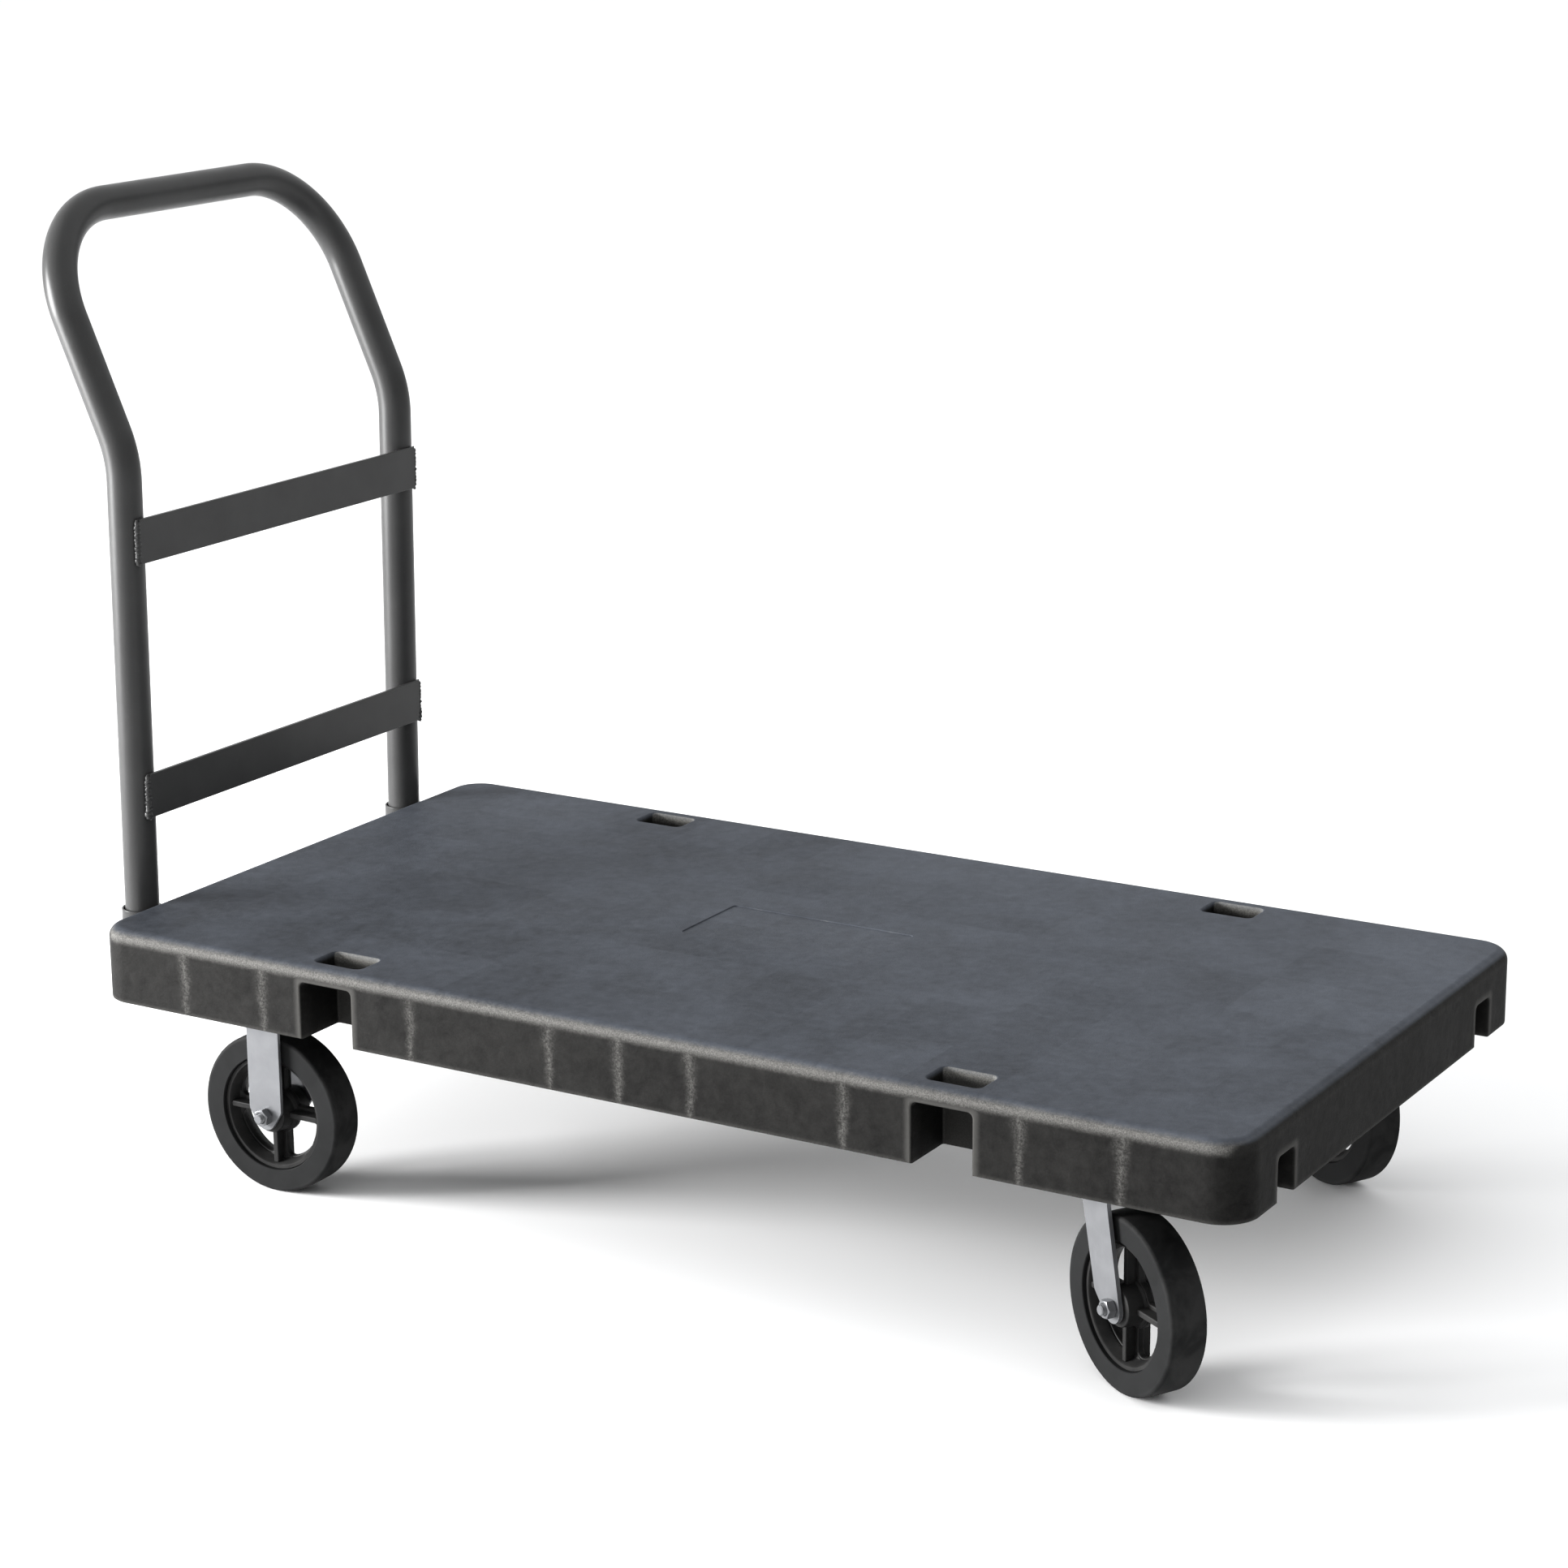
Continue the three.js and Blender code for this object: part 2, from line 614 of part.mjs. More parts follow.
// Slanting leg whose tip is round about the trailing axle.
function swivelLegShape() {
  const { half, top, shoulderX, shoulder: shoulderZ, tip, tipZ } = SWIVEL_LEG;
  const hidden = CROWN_BOTTOM + CLEAR;
  const start = touchAngle(shoulderX, shoulderZ, SWIVEL.trail, tipZ, tip, 1);
  const end = touchAngle(top + half, hidden, SWIVEL.trail, tipZ, tip, -1);
  const shape = new THREE.Shape();
  shape.moveTo(top - half, hidden);
  shape.lineTo(shoulderX, shoulderZ);
  shape.absarc(SWIVEL.trail, tipZ, tip, start, end, false);
  shape.lineTo(top + half, hidden);
  return shape;
}

function rigidCaster(side) {
  const group = new THREE.Group();
  const sign = side === "left" ? 1 : -1;
  group.position.set(RIGID.x, sign * RIGID.y, 0);

  const plate = solid(prism(plateShape(), PLATE_BOTTOM, PLATE_TOP, 4));
  const { pair, hole } = legs(rigidLegShape());
  const crown = block(
    [-RIGID_LEG.half, -FORK_OUTER, PLATE_BOTTOM - FORK.crown],
    [RIGID_LEG.half, FORK_OUTER, PLATE_BOTTOM + CLEAR],
  );
  const fork = join([plate, crown, pair]).subtract(hole.translate([0, 0, WHEEL_RADIUS]));
  group.add(part(`rigid_fork_${side}`, geometryOf(fork), ZINC));
  group.add(...plateBolts(`rigid_plate_bolt_${side}`));

  const axleGroup = axle(`rigid_${side}`, sign);
  const wheelGroup = wheel(`rigid_${side}`);
  axleGroup.position.z = WHEEL_RADIUS;
  wheelGroup.position.z = WHEEL_RADIUS;
  group.add(axleGroup, wheelGroup);
  return group;
}

function plateBolts(stem) {
  return plateCorners.map(([dx, dy], i) => {
    const bolt = uprightBolt(`${stem}_${i + 1}`, PLATE_BOLT, PLATE_BOTTOM - GAP);
    bolt.position.set(dx, dy, 0);
    return bolt;
  });
}

// The turning half of a swivel caster: crown, legs, axle and wheel behind the kingpin.
function yokeGroup(side) {
  const group = new THREE.Group();
  const crownShape = roundedRectangle(2 * CROWN.reach, 2 * FORK_OUTER, CROWN.corner, CROWN.x);
  const crown = solid(prism(crownShape, CROWN_BOTTOM, CROWN_TOP));
  const { pair, hole } = legs(swivelLegShape());
  const axleHole = hole.translate([SWIVEL.trail, 0, WHEEL_RADIUS]);
  const pinHole = bar(KINGPIN.radius + HOLE_CLEARANCE, CROWN_BOTTOM - CLEAR, CROWN_TOP + CLEAR);
  const yoke = crown.add(pair).subtract(axleHole).subtract(pinHole);
  group.add(part(`swivel_yoke_${side}`, geometryOf(yoke), ZINC));

  const axleGroup = axle(`swivel_${side}`, -1);
  const wheelGroup = wheel(`swivel_${side}`);
  axleGroup.position.set(SWIVEL.trail, 0, WHEEL_RADIUS);
  wheelGroup.position.set(SWIVEL.trail, 0, WHEEL_RADIUS);
  group.add(axleGroup, wheelGroup);
  group.rotation.z = side === "left" ? Math.PI - SWIVEL.turned : -SWIVEL.turned;
  return group;
}

function swivelCaster(side) {
  const group = new THREE.Group();
  const sign = side === "left" ? 1 : -1;
  group.position.set(SWIVEL.x, sign * SWIVEL.y, 0);

  const shape = plateShape();
  shape.holes.push(roundHole(KINGPIN.radius + HOLE_CLEARANCE));
  group.add(part(`swivel_plate_${side}`, prism(shape, PLATE_BOTTOM, PLATE_TOP, 4), ZINC));
  group.add(...plateBolts(`swivel_plate_bolt_${side}`));

  const { outer, bottom, lowChamfer, highChamfer } = RACE;
  const raceTop = PLATE_BOTTOM - GAP;
  const inner = KINGPIN.radius + HOLE_CLEARANCE;
  const raceOutline = [
    [inner, bottom], [outer - lowChamfer, bottom], [outer, bottom + lowChamfer],
    [outer, raceTop - highChamfer], [outer - highChamfer, raceTop], [inner, raceTop],
  ];
  const race = ring(raceOutline, 16).rotateX(Math.PI / 2);
  group.add(part(`swivel_race_${side}`, race, ZINC));

  const shank = bar(KINGPIN.radius, KINGPIN.headBottom + CLEAR, PLATE_TOP);
  const head = bar(KINGPIN.head, KINGPIN.headBottom, CROWN_BOTTOM - GAP);
  group.add(part(`kingpin_${side}`, geometryOf(shank.add(head)), ZINC));
  group.add(yokeGroup(side));
  return group;
}

// Whole cart ---------------------------------------------------------------------------------

const cart = new THREE.Group();
cart.add(deck(), handle());
for (const side of ["left", "right"]) {
  cart.add(socket(side), rigidCaster(side), swivelCaster(side));
}
const topBar = new THREE.Vector3(
  -LEAN_LENGTH * Math.sin(LEAN),
  0,
  LEAN_Z - TILT_Z + LEAN_LENGTH * Math.cos(LEAN),
);
topBar.applyAxisAngle(new THREE.Vector3(0, 1, 0), TILT);
const handleBack = POST_X + topBar.x - TUBE_RADIUS;
cart.position.x = -(handleBack + HALF_LENGTH) / 2;

export default cart;
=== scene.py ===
"""Looks for the platform cart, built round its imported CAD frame. Everything is in metres."""

import json
import math

import bmesh
import bpy
from mathutils import Matrix, Vector


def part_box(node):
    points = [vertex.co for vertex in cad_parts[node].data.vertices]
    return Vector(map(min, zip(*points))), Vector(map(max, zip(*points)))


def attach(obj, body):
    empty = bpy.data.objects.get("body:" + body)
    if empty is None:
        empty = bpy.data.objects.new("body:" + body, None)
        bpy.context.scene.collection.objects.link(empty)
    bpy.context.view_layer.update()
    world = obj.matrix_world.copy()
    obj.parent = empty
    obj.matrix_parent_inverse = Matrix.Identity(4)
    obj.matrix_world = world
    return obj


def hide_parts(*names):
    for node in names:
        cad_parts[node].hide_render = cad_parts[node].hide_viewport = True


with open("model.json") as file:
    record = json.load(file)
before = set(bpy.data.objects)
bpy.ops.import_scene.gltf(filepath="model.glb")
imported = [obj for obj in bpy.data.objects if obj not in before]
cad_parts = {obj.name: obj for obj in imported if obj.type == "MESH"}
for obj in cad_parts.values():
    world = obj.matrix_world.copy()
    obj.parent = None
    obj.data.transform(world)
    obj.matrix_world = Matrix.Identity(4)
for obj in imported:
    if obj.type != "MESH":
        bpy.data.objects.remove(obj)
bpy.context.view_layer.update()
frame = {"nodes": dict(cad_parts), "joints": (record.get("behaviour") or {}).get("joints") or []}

MM = 0.001
CORNERS = [(i, j) for i in (-1, 1) for j in (-1, 1)]
SIDES = {"right": -1, "left": 1}
CASTERS = [f"{kind}_{side}" for kind in ("rigid", "swivel") for side in SIDES]

# Places taken from the frame ------------------------------------------------------------------

DECK_LOW, DECK_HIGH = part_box("deck")
DECK_MIDDLE = (DECK_LOW + DECK_HIGH) / 2
DECK_LENGTH = DECK_HIGH.x - DECK_LOW.x
DECK_WIDTH = DECK_HIGH.y - DECK_LOW.y
JOINTS = {joint["name"]: joint for joint in frame["joints"]}

# Deck moulding, in the deck's own middle axes ---------------------------------------------------

CORNER_RADIUS = 44 * MM
TOP_ROUND = 14 * MM
SKIRT_ROUND = 1.5 * MM
TOP_PLATE = 10 * MM
SKIRT_WALL = 8 * MM
RIB = 5 * MM
RIBS_ACROSS = [offset * MM for offset in (0, 95, 190, 290, 397, 505, 624)]
RIBS_ALONG = [offset * MM for offset in (0, 130, 262)]
STREAKED_RIBS = [offset * MM for offset in (0, 95, 290, 505, 624)]
PAD_LENGTH = 128 * MM
PAD_WIDTH = 116 * MM
SIDE_NOTCH = {"at": 411.5 * MM, "width": 73 * MM, "depth": 71 * MM, "top": 298 * MM}
END_NOTCH = {"at": 282 * MM, "width": 42 * MM, "depth": 72 * MM, "top": 277 * MM}
NOTCH_WALL = 7 * MM
SLOT = {"x": 411.5 * MM, "y": 348 * MM, "length": 67 * MM, "width": 44 * MM}
PANEL = {"x": -3 * MM, "y": 3 * MM, "length": 252 * MM, "width": 124 * MM, "depth": 1.2 * MM}

# Handle, drawn upright about the line of its posts and then leaned as a whole
TILT_Z = 270 * MM
TUBE_RADIUS = 21.2 * MM
TUBE_WALL = 2.3 * MM
POST_FOOT = 232.3 * MM
LEAN = math.radians(24.65)
LEAN_Z = 876.7 * MM
LEAN_LENGTH = 310.6 * MM
LEAN_BEND = 141 * MM
CORNER_BEND = 132.5 * MM
BAR = {"height": 55.5 * MM, "thickness": 5 * MM, "half": 279 * MM}
BAR_HEIGHTS = {"crossbar_upper": 775.3 * MM, "crossbar_lower": 456.2 * MM}
BAR_FACE = TUBE_RADIUS + 0.3 * MM
SOCKET_BORE = 22.7 * MM

# Casters, heights above the floor
FORK_INNER = 27.5 * MM
FORK_STEEL = 5 * MM
FORK_OUTER = FORK_INNER + FORK_STEEL
AXLE_RADIUS = 6 * MM
AXLE_ACROSS = 19 * MM
HOLE_CLEARANCE = 0.7 * MM
BOLTS_X = 46 * MM
BOLTS_Y = 38.3 * MM
TREAD_INNER = 72 * MM
HUB_RADIUS = 23 * MM
RIM_INNER = 63 * MM
WEB_HALF = 4 * MM
WINDOW_ROLL = 1.5 * MM
SPOKE_WIDTH = 9 * MM


# Ways to lay a body that is drawn upright: a profile in (Y, Z) pushed along X, a profile in (X, Z)
# pushed along -Y, and a body turned about Z laid along +Y.
ALONG_X = Matrix(((0, 0, 1, 0), (1, 0, 0, 0), (0, 1, 0, 0), (0, 0, 0, 1)))
ALONG_Y = Matrix.Rotation(math.pi / 2, 4, "X")
ALONG_AXLE = Matrix.Rotation(-math.pi / 2, 4, "X")


# Outlines ---------------------------------------------------------------------------------------


def fillet(corners, radius, steps=8):
    """A closed outline through corners (x, y) or (x, y, own radius), each rounded to an arc."""
    outline = []
    for i, corner in enumerate(corners):
        here = Vector(corner[:2])
        before = (Vector(corners[i - 1][:2]) - here).normalized()
        after = (Vector(corners[(i + 1) % len(corners)][:2]) - here).normalized()
        own = corner[2] if len(corner) > 2 else radius
        if own == 0:
            outline.append(here)
            continue
        half = before.angle(after) / 2
        centre = here + (before + after).normalized() * (own / math.sin(half))
        start = here + before * (own / math.tan(half)) - centre
        end = here + after * (own / math.tan(half)) - centre
        sweep = math.atan2(start.cross(end), start.dot(end))
        for k in range(steps + 1):
            outline.append(centre + Matrix.Rotation(sweep * k / steps, 2) @ start)
    return outline


def rectangle(length, width, radius, x=0.0, y=0.0, steps=8):
    """A rounded rectangle about (x, y), counter-clockwise."""
    dx, dy = length / 2, width / 2
    corners = [(x - dx, y - dy), (x + dx, y - dy), (x + dx, y + dy), (x - dx, y + dy)]
    return fillet(corners, radius, steps)


def grown(outline, offset):
    """A counter-clockwise outline moved outwards by the offset, or inwards if it is negative."""
    if offset == 0:
        return outline
    moved = []
    for i, here in enumerate(outline):
        before = (here - outline[i - 1]).normalized()
        after = (outline[(i + 1) % len(outline)] - here).normalized()
        normal = Vector((before.y + after.y, -before.x - after.x)).normalized()
        moved.append(here + normal * (offset / normal.dot(Vector((before.y, -before.x)))))
    return moved


def quarter(radius, steps=5):
    """(across, along) steps round a quarter circle that starts on a flat face."""
    turns = [math.pi / 2 * k / steps for k in range(steps + 1)]
    return [(radius * (1 - math.sin(t)), radius * (1 - math.cos(t))) for t in turns]


def both_halves(upper):
    """A profile's upper half, from its middle outwards, followed by its mirror image below."""
    return upper + [(across, -height) for across, height in reversed(upper)]


def circle(radius, height, segments):
    turns = [2 * math.pi * k / segments for k in range(segments)]
    return [Vector((radius * math.cos(t), radius * math.sin(t), height)) for t in turns]


# Meshes -----------------------------------------------------------------------------------------


def loft(bm, rings, closed=False):
    """Skin over rings of equal count, capped at both ends or joined round when closed."""
    rows = [[bm.verts.new(point) for point in ring] for ring in rings]
    count = len(rows[0])
    following = rows[1:] + (rows[:1] if closed else [])
    for low, high in zip(rows, following):
        for i in range(count):
            j = (i + 1) % count
            bm.faces.new((low[i], low[j], high[j], high[i]))
    if not closed:
        bm.faces.new(rows[0])
        bm.faces.new(rows[-1])


def levels(outline, stations):
    """Rings of an outline at (offset, height) stations."""
    return [
        [Vector((point.x, point.y, height)) for point in grown(outline, offset)]
        for offset, height in stations
    ]


def slab(bm, outline, low, high, round_low=0.0, round_high=0.0, steps=4):
    """A flat body between two heights, its two rims rounded."""
    bottom = [(-across, low + along) for across, along in quarter(round_low, steps)]
    top = [(-across, high - along) for across, along in quarter(round_high, steps)][::-1]
    bottom = bottom if round_low else [(0, low)]
    top = top if round_high else [(0, high)]
    loft(bm, levels(outline, bottom + top))


def opening(bm, outline, low, high, flare, base_round=0.0, steps=5):
    """A cutter that ends in a face at `high`, where it leaves a rounded rim behind."""
    base = [(-across, low + along) for across, along in quarter(base_round, steps)]
    base = base if base_round else [(0, low)]
    rim = [(along, high - across) for across, along in quarter(flare, steps)]
    loft(bm, levels(outline, base + rim + [(flare, high + 2 * MM)]))


def lathe(bm, profile, segments=64, closed=False):
    """(radius, height) pairs turned about Z."""
    loft(bm, [circle(radius, height, segments) for radius, height in profile], closed)


def cylinder(bm, radius, low, high, x=0.0, y=0.0, segments=32):
    middle = Vector((x, y, 0))
    rings = [circle(radius, height, segments) for height in (low, high)]
    loft(bm, [[point + middle for point in ring] for ring in rings])


def transformed(bm, matrix):
    bmesh.ops.transform(bm, matrix=matrix, verts=bm.verts)


def mesh_object(name, bm, matrix=None):
    """A scene object of a bmesh, its faces turned outwards."""
    if matrix is not None:
        transformed(bm, matrix)
    bmesh.ops.recalc_face_normals(bm, faces=bm.faces)
    if bm.calc_volume(signed=True) < 0:
        bmesh.ops.reverse_faces(bm, faces=bm.faces)
    mesh = bpy.data.meshes.new(name)
    bm.to_mesh(mesh)
    bm.free()
    piece = bpy.data.objects.new(name, mesh)
    bpy.context.scene.collection.objects.link(piece)
    return piece


def add_body(bm, body, matrix):
    """Moves a body into place and adds it to a mesh, which uses the body up."""
    transformed(body, matrix)
    mesh = bpy.data.meshes.new("body")
    body.to_mesh(mesh)
    body.free()
    bm.from_mesh(mesh)
    bpy.data.meshes.remove(mesh)


def made(name, build, *sizes, matrix=None, **options):
    """An object whose mesh is filled by one of the builders above."""
    bm = bmesh.new()
    build(bm, *sizes, **options)
    return mesh_object(name, bm, matrix)


def apply_modifiers(piece):
    graph = bpy.context.evaluated_depsgraph_get()
    mesh = bpy.data.meshes.new_from_object(piece.evaluated_get(graph))
    piece.modifiers.clear()
    old = piece.data
    piece.data = mesh
    bpy.data.meshes.remove(old)


def combine(piece, other, operation="DIFFERENCE"):
    """An exact boolean of two objects, which uses the second one up."""
    modifier = piece.modifiers.new("combine", "BOOLEAN")
    modifier.operation = operation
    modifier.solver = "EXACT"
    modifier.object = other
    apply_modifiers(piece)
    mesh = other.data
    bpy.data.objects.remove(other)
    bpy.data.meshes.remove(mesh)
    return piece


def bevelled(piece, width, angle=40, segments=2):
    modifier = piece.modifiers.new("bevel", "BEVEL")
    modifier.width = width
    modifier.segments = segments
    modifier.limit_method = "ANGLE"
    modifier.angle_limit = math.radians(angle)
    modifier.harden_normals = False
    apply_modifiers(piece)
    return piece


def smooth(piece, angle=32):
    """Smooth shading with sharp edges kept and flat faces left flat."""
    piece.data.shade_smooth()
    piece.data.set_sharp_from_angle(angle=math.radians(angle))
    modifier = piece.modifiers.new("normals", "WEIGHTED_NORMAL")
    modifier.keep_sharp = True
    modifier.weight = 80
    apply_modifiers(piece)
    return piece


def finish_piece(piece, look, body, *nodes):
    """Gives a piece its material and its CAD body, and hides the CAD nodes that it stands for."""
    material, slot = look
    piece.data.materials.clear()
    piece.data.materials.append(material)
    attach(piece, body)
    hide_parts(*nodes)
    return piece


def copy_of(source, name, matrix):
    piece = bpy.data.objects.new(name, source.data)
    bpy.context.scene.collection.objects.link(piece)
    piece.matrix_world = matrix
    return piece


# Paths ------------------------------------------------------------------------------------------


def arc(start, direction, towards, radius, steps):
    """Points of an arc that leaves `start` along one unit direction and ends along another."""
    angle = direction.angle(towards)
    inward = (towards - direction * math.cos(angle)).normalized()
    points = []
    for k in range(steps + 1):
        turn = angle * k / steps
        across = inward * (radius * (1 - math.cos(turn)))
        points.append(start + direction * (radius * math.sin(turn)) + across)
    return points


def swept_rings(points, radii, segments):
    """Circles across a path, turned from one to the next as little as possible."""
    tangents = []
    for i in range(len(points)):
        ahead = points[min(i + 1, len(points) - 1)]
        tangents.append((ahead - points[max(i - 1, 0)]).normalized())
    side = tangents[0].orthogonal().normalized()
    rings = []
    for i, (point, radius) in enumerate(zip(points, radii)):
        if i:
            side = tangents[i - 1].rotation_difference(tangents[i]) @ side
        other = tangents[i].cross(side)
        turns = [2 * math.pi * k / segments for k in range(segments)]
        rings.append(
            [point + (side * math.cos(t) + other * math.sin(t)) * radius for t in turns]
        )
    return rings


def bead(bm, start, end, radius, bulge=0.0, segments=12):
    """A lumpy weld bead between two points, thinner towards its ends."""
    count = max(6, round((end - start).length / (1.1 * MM)))
    across = (end - start).orthogonal().normalized() * radius
    points, radii = [], []
    for k in range(count + 1):
        share = k / count
        wander = 0.12 * math.sin(k * 1.9) + 0.1 * math.sin(k * 0.83 + 1.0)
        lump = 1 + 0.16 * math.sin(k * 1.35) + 0.08 * math.sin(k * 2.9 + 0.6)
        taper = min(1.0, 0.45 + 5 * min(share, 1 - share))
        sag = 1 + bulge * math.exp(-((share * 5) ** 2))
        points.append(start.lerp(end, share) + across * wander)
        radii.append(radius * lump * taper * sag)
    loft(bm, swept_rings(points, radii, segments))


# Deck -------------------------------------------------------------------------------------------

def face_turn(quarters):
    """From the -Y side face to the face so many quarter turns round from it."""
    return Matrix.Rotation(quarters * math.pi / 2, 4, "Z") @ ALONG_Y


def deck_shell():
    outline = rectangle(DECK_LENGTH, DECK_WIDTH, CORNER_RADIUS, steps=20)
    return made("deck_shell", slab, outline, DECK_LOW.z, DECK_HIGH.z, SKIRT_ROUND, TOP_ROUND, 9)


def cell_spans(ribs, edge):
    middles = sorted({sign * rib for rib in ribs for sign in (-1, 1)})
    starts = [-edge] + [middle + RIB / 2 for middle in middles]
    ends = [middle - RIB / 2 for middle in middles] + [edge]
    return list(zip(starts, ends))


def caster_places():
    """(x, y) of each caster's mounting plate, in the deck's middle axes."""
    places = []
    for side in SIDES:
        for node in (f"rigid_fork_{side}", f"swivel_plate_{side}"):
            low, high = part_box(node)
            middle = (low + high) / 2 - DECK_MIDDLE
            places.append((middle.x, middle.y))
    return places


def pad_blocks(bm, low, high, spare=0.0):
    for x, y in caster_places():
        outline = rectangle(PAD_LENGTH + spare, PAD_WIDTH + spare, 3 * MM, x, y, 2)
        slab(bm, outline, low, high)


def notch_blocks(bm, low, high):
    """The upright blocks whose outsides are the notches' walls."""
    for notch, half, across in (
        (SIDE_NOTCH, DECK_WIDTH / 2, False),
        (END_NOTCH, DECK_LENGTH / 2, True),
    ):
        wide = notch["width"] + 2 * NOTCH_WALL
        deep = notch["depth"] + NOTCH_WALL
        for sign, end in CORNERS:
            middle = end * (half + SKIRT_WALL - (deep + SKIRT_WALL) / 2)
            place = (middle, sign * notch["at"]) if across else (sign * notch["at"], middle)
            size = (deep + SKIRT_WALL, wide) if across else (wide, deep + SKIRT_WALL)
            slab(bm, rectangle(*size, 2 * MM, *place, steps=2), low, high)


def rib_cells():
    """The spaces between the ribs, which open downwards."""
    low, ceiling = DECK_LOW.z - 5 * MM, DECK_HIGH.z - TOP_PLATE
    bm = bmesh.new()
    for x0, x1 in cell_spans(RIBS_ACROSS, DECK_LENGTH / 2):
        for y0, y1 in cell_spans(RIBS_ALONG, DECK_WIDTH / 2):
            outline = rectangle(x1 - x0, y1 - y0, 3 * MM, (x0 + x1) / 2, (y0 + y1) / 2, 2)
            slab(bm, outline, low, ceiling, 0, 2 * MM, 2)
    cells = mesh_object("cells", bm)
    inside = rectangle(
        DECK_LENGTH - 2 * SKIRT_WALL,
        DECK_WIDTH - 2 * SKIRT_WALL,
        CORNER_RADIUS - SKIRT_WALL,
    )
    room = made("room", slab, inside, low - 5 * MM, ceiling + 5 * MM)
    combine(cells, room, "INTERSECT")
    for build in (pad_blocks, notch_blocks):
        combine(cells, made("kept", build, low - 3 * MM, ceiling + 3 * MM))
    return cells


def pad_recesses():
    """Room for the caster plates, under the pads that they bolt to."""
    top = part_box("swivel_plate_right")[1].z + 0.3 * MM
    return made("recesses", pad_blocks, DECK_LOW.z - 7 * MM, top, MM)


def notch_cutters():
    bm = bmesh.new()
    for notch, half, turns in (
        (SIDE_NOTCH, DECK_WIDTH / 2, (0, 2)),
        (END_NOTCH, DECK_LENGTH / 2, (1, 3)),
    ):
        for quarters in turns:
            for sign in (-1, 1):
                middle, dx = sign * notch["at"], notch["width"] / 2
                bottom = DECK_LOW.z - 12 * MM
                corners = [
                    (middle - dx, bottom, 0),
                    (middle + dx, bottom, 0),
                    (middle + dx, notch["top"]),
                    (middle - dx, notch["top"]),
                ]
                cutter = bmesh.new()
                outline = fillet(corners, 6 * MM, 6)
                opening(cutter, outline, half - notch["depth"], half, 3.5 * MM, 3 * MM)
                add_body(bm, cutter, face_turn(quarters))
    return mesh_object("notches", bm)


def top_cutters():
    """The strap slots and the blank name panel."""
    bm = bmesh.new()
    for i, j in CORNERS:
        outline = rectangle(SLOT["length"], SLOT["width"], 8 * MM, i * SLOT["x"], j * SLOT["y"])
        opening(bm, outline, SIDE_NOTCH["top"] - 4 * MM, DECK_HIGH.z, 3 * MM)
    outline = rectangle(PANEL["length"], PANEL["width"], 5 * MM, PANEL["x"], PANEL["y"])
    opening(bm, outline, DECK_HIGH.z - PANEL["depth"], DECK_HIGH.z, MM)
    return mesh_object("top_cutters", bm)


def bolt_nodes():
    return [n for n in frame["nodes"] if "plate_bolt" in n or "socket_bolt" in n]


def bolt_holes():
    bm = bmesh.new()
    for node in bolt_nodes():
        low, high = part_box(node)
        middle = (low + high) / 2 - DECK_MIDDLE
        radius = 6 * MM if "socket" in node else 5.5 * MM
        cylinder(bm, radius, low.z, high.z + 2 * MM, middle.x, middle.y, 20)
    return mesh_object("holes", bm)


def make_deck(look):
    deck = deck_shell()
    for cutter in (rib_cells, pad_recesses, notch_cutters, top_cutters, bolt_holes):
        combine(deck, cutter())
    deck.data.transform(Matrix.Translation((DECK_MIDDLE.x, DECK_MIDDLE.y, 0)))
    deck.name = "deck_moulding"
    smooth(deck, 38)
    return finish_piece(deck, look, "deck", "deck")


# Handle -----------------------------------------------------------------------------------------


def handle_frame():
    """From the upright handle about X = 0 to the handle leaning in its sockets."""
    low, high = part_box("socket_tube_right")
    axis = JOINTS["handle_lift"]["axis"]
    pivot = Matrix.Translation(((low.x + high.x) / 2, 0, TILT_Z))
    return pivot @ Matrix.Rotation(math.atan2(axis[0], axis[2]), 4, "Y") @ Matrix.Translation(
        (0, 0, -TILT_Z)
    )


def post_offset():
    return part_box("handle_tube")[1].y - TUBE_RADIUS


def handle_path():
    """The hoop's middle line from the foot of the right post to the foot of the left one."""
    foot = Vector((0, -post_offset(), POST_FOOT))
    up, inward = Vector((0, 0, 1)), Vector((0, 1, 0))
    lean = Vector((-math.sin(LEAN), 0, math.cos(LEAN)))
    bend_corner = Vector((0, foot.y, LEAN_Z))
    bar_corner = bend_corner + lean * LEAN_LENGTH
    tangent = LEAN_BEND * math.tan(LEAN / 2)
    points = [foot, foot + up * (0.6 * MM)]
    points += arc(bend_corner - up * tangent, up, lean, LEAN_BEND, 20)
    points += arc(bar_corner - lean * CORNER_BEND, lean, inward, CORNER_BEND, 36)
    return points + [Vector((p.x, -p.y, p.z)) for p in reversed(points)]


def handle_tube(bm):
    points = handle_path()
    edge = 0.6 * MM
    outer = [TUBE_RADIUS - edge] + [TUBE_RADIUS] * (len(points) - 2) + [TUBE_RADIUS - edge]
    bore = TUBE_RADIUS - TUBE_WALL
    inner = [bore + edge] + [bore] * (len(points) - 2) + [bore + edge]
    rings = swept_rings(points, outer, 56) + swept_rings(points, inner, 56)[::-1]
    loft(bm, rings, closed=True)


def crossbar(node):
    outline = rectangle(2 * BAR["half"], BAR["height"], 2 * MM, steps=5)
    facing = Matrix.Translation((BAR_FACE, 0, BAR_HEIGHTS[node])) @ ALONG_X
    return made(node + "_plate", slab, outline, 0, BAR["thickness"], 0.8 * MM, 0.8 * MM, 3,
                matrix=handle_frame() @ facing)


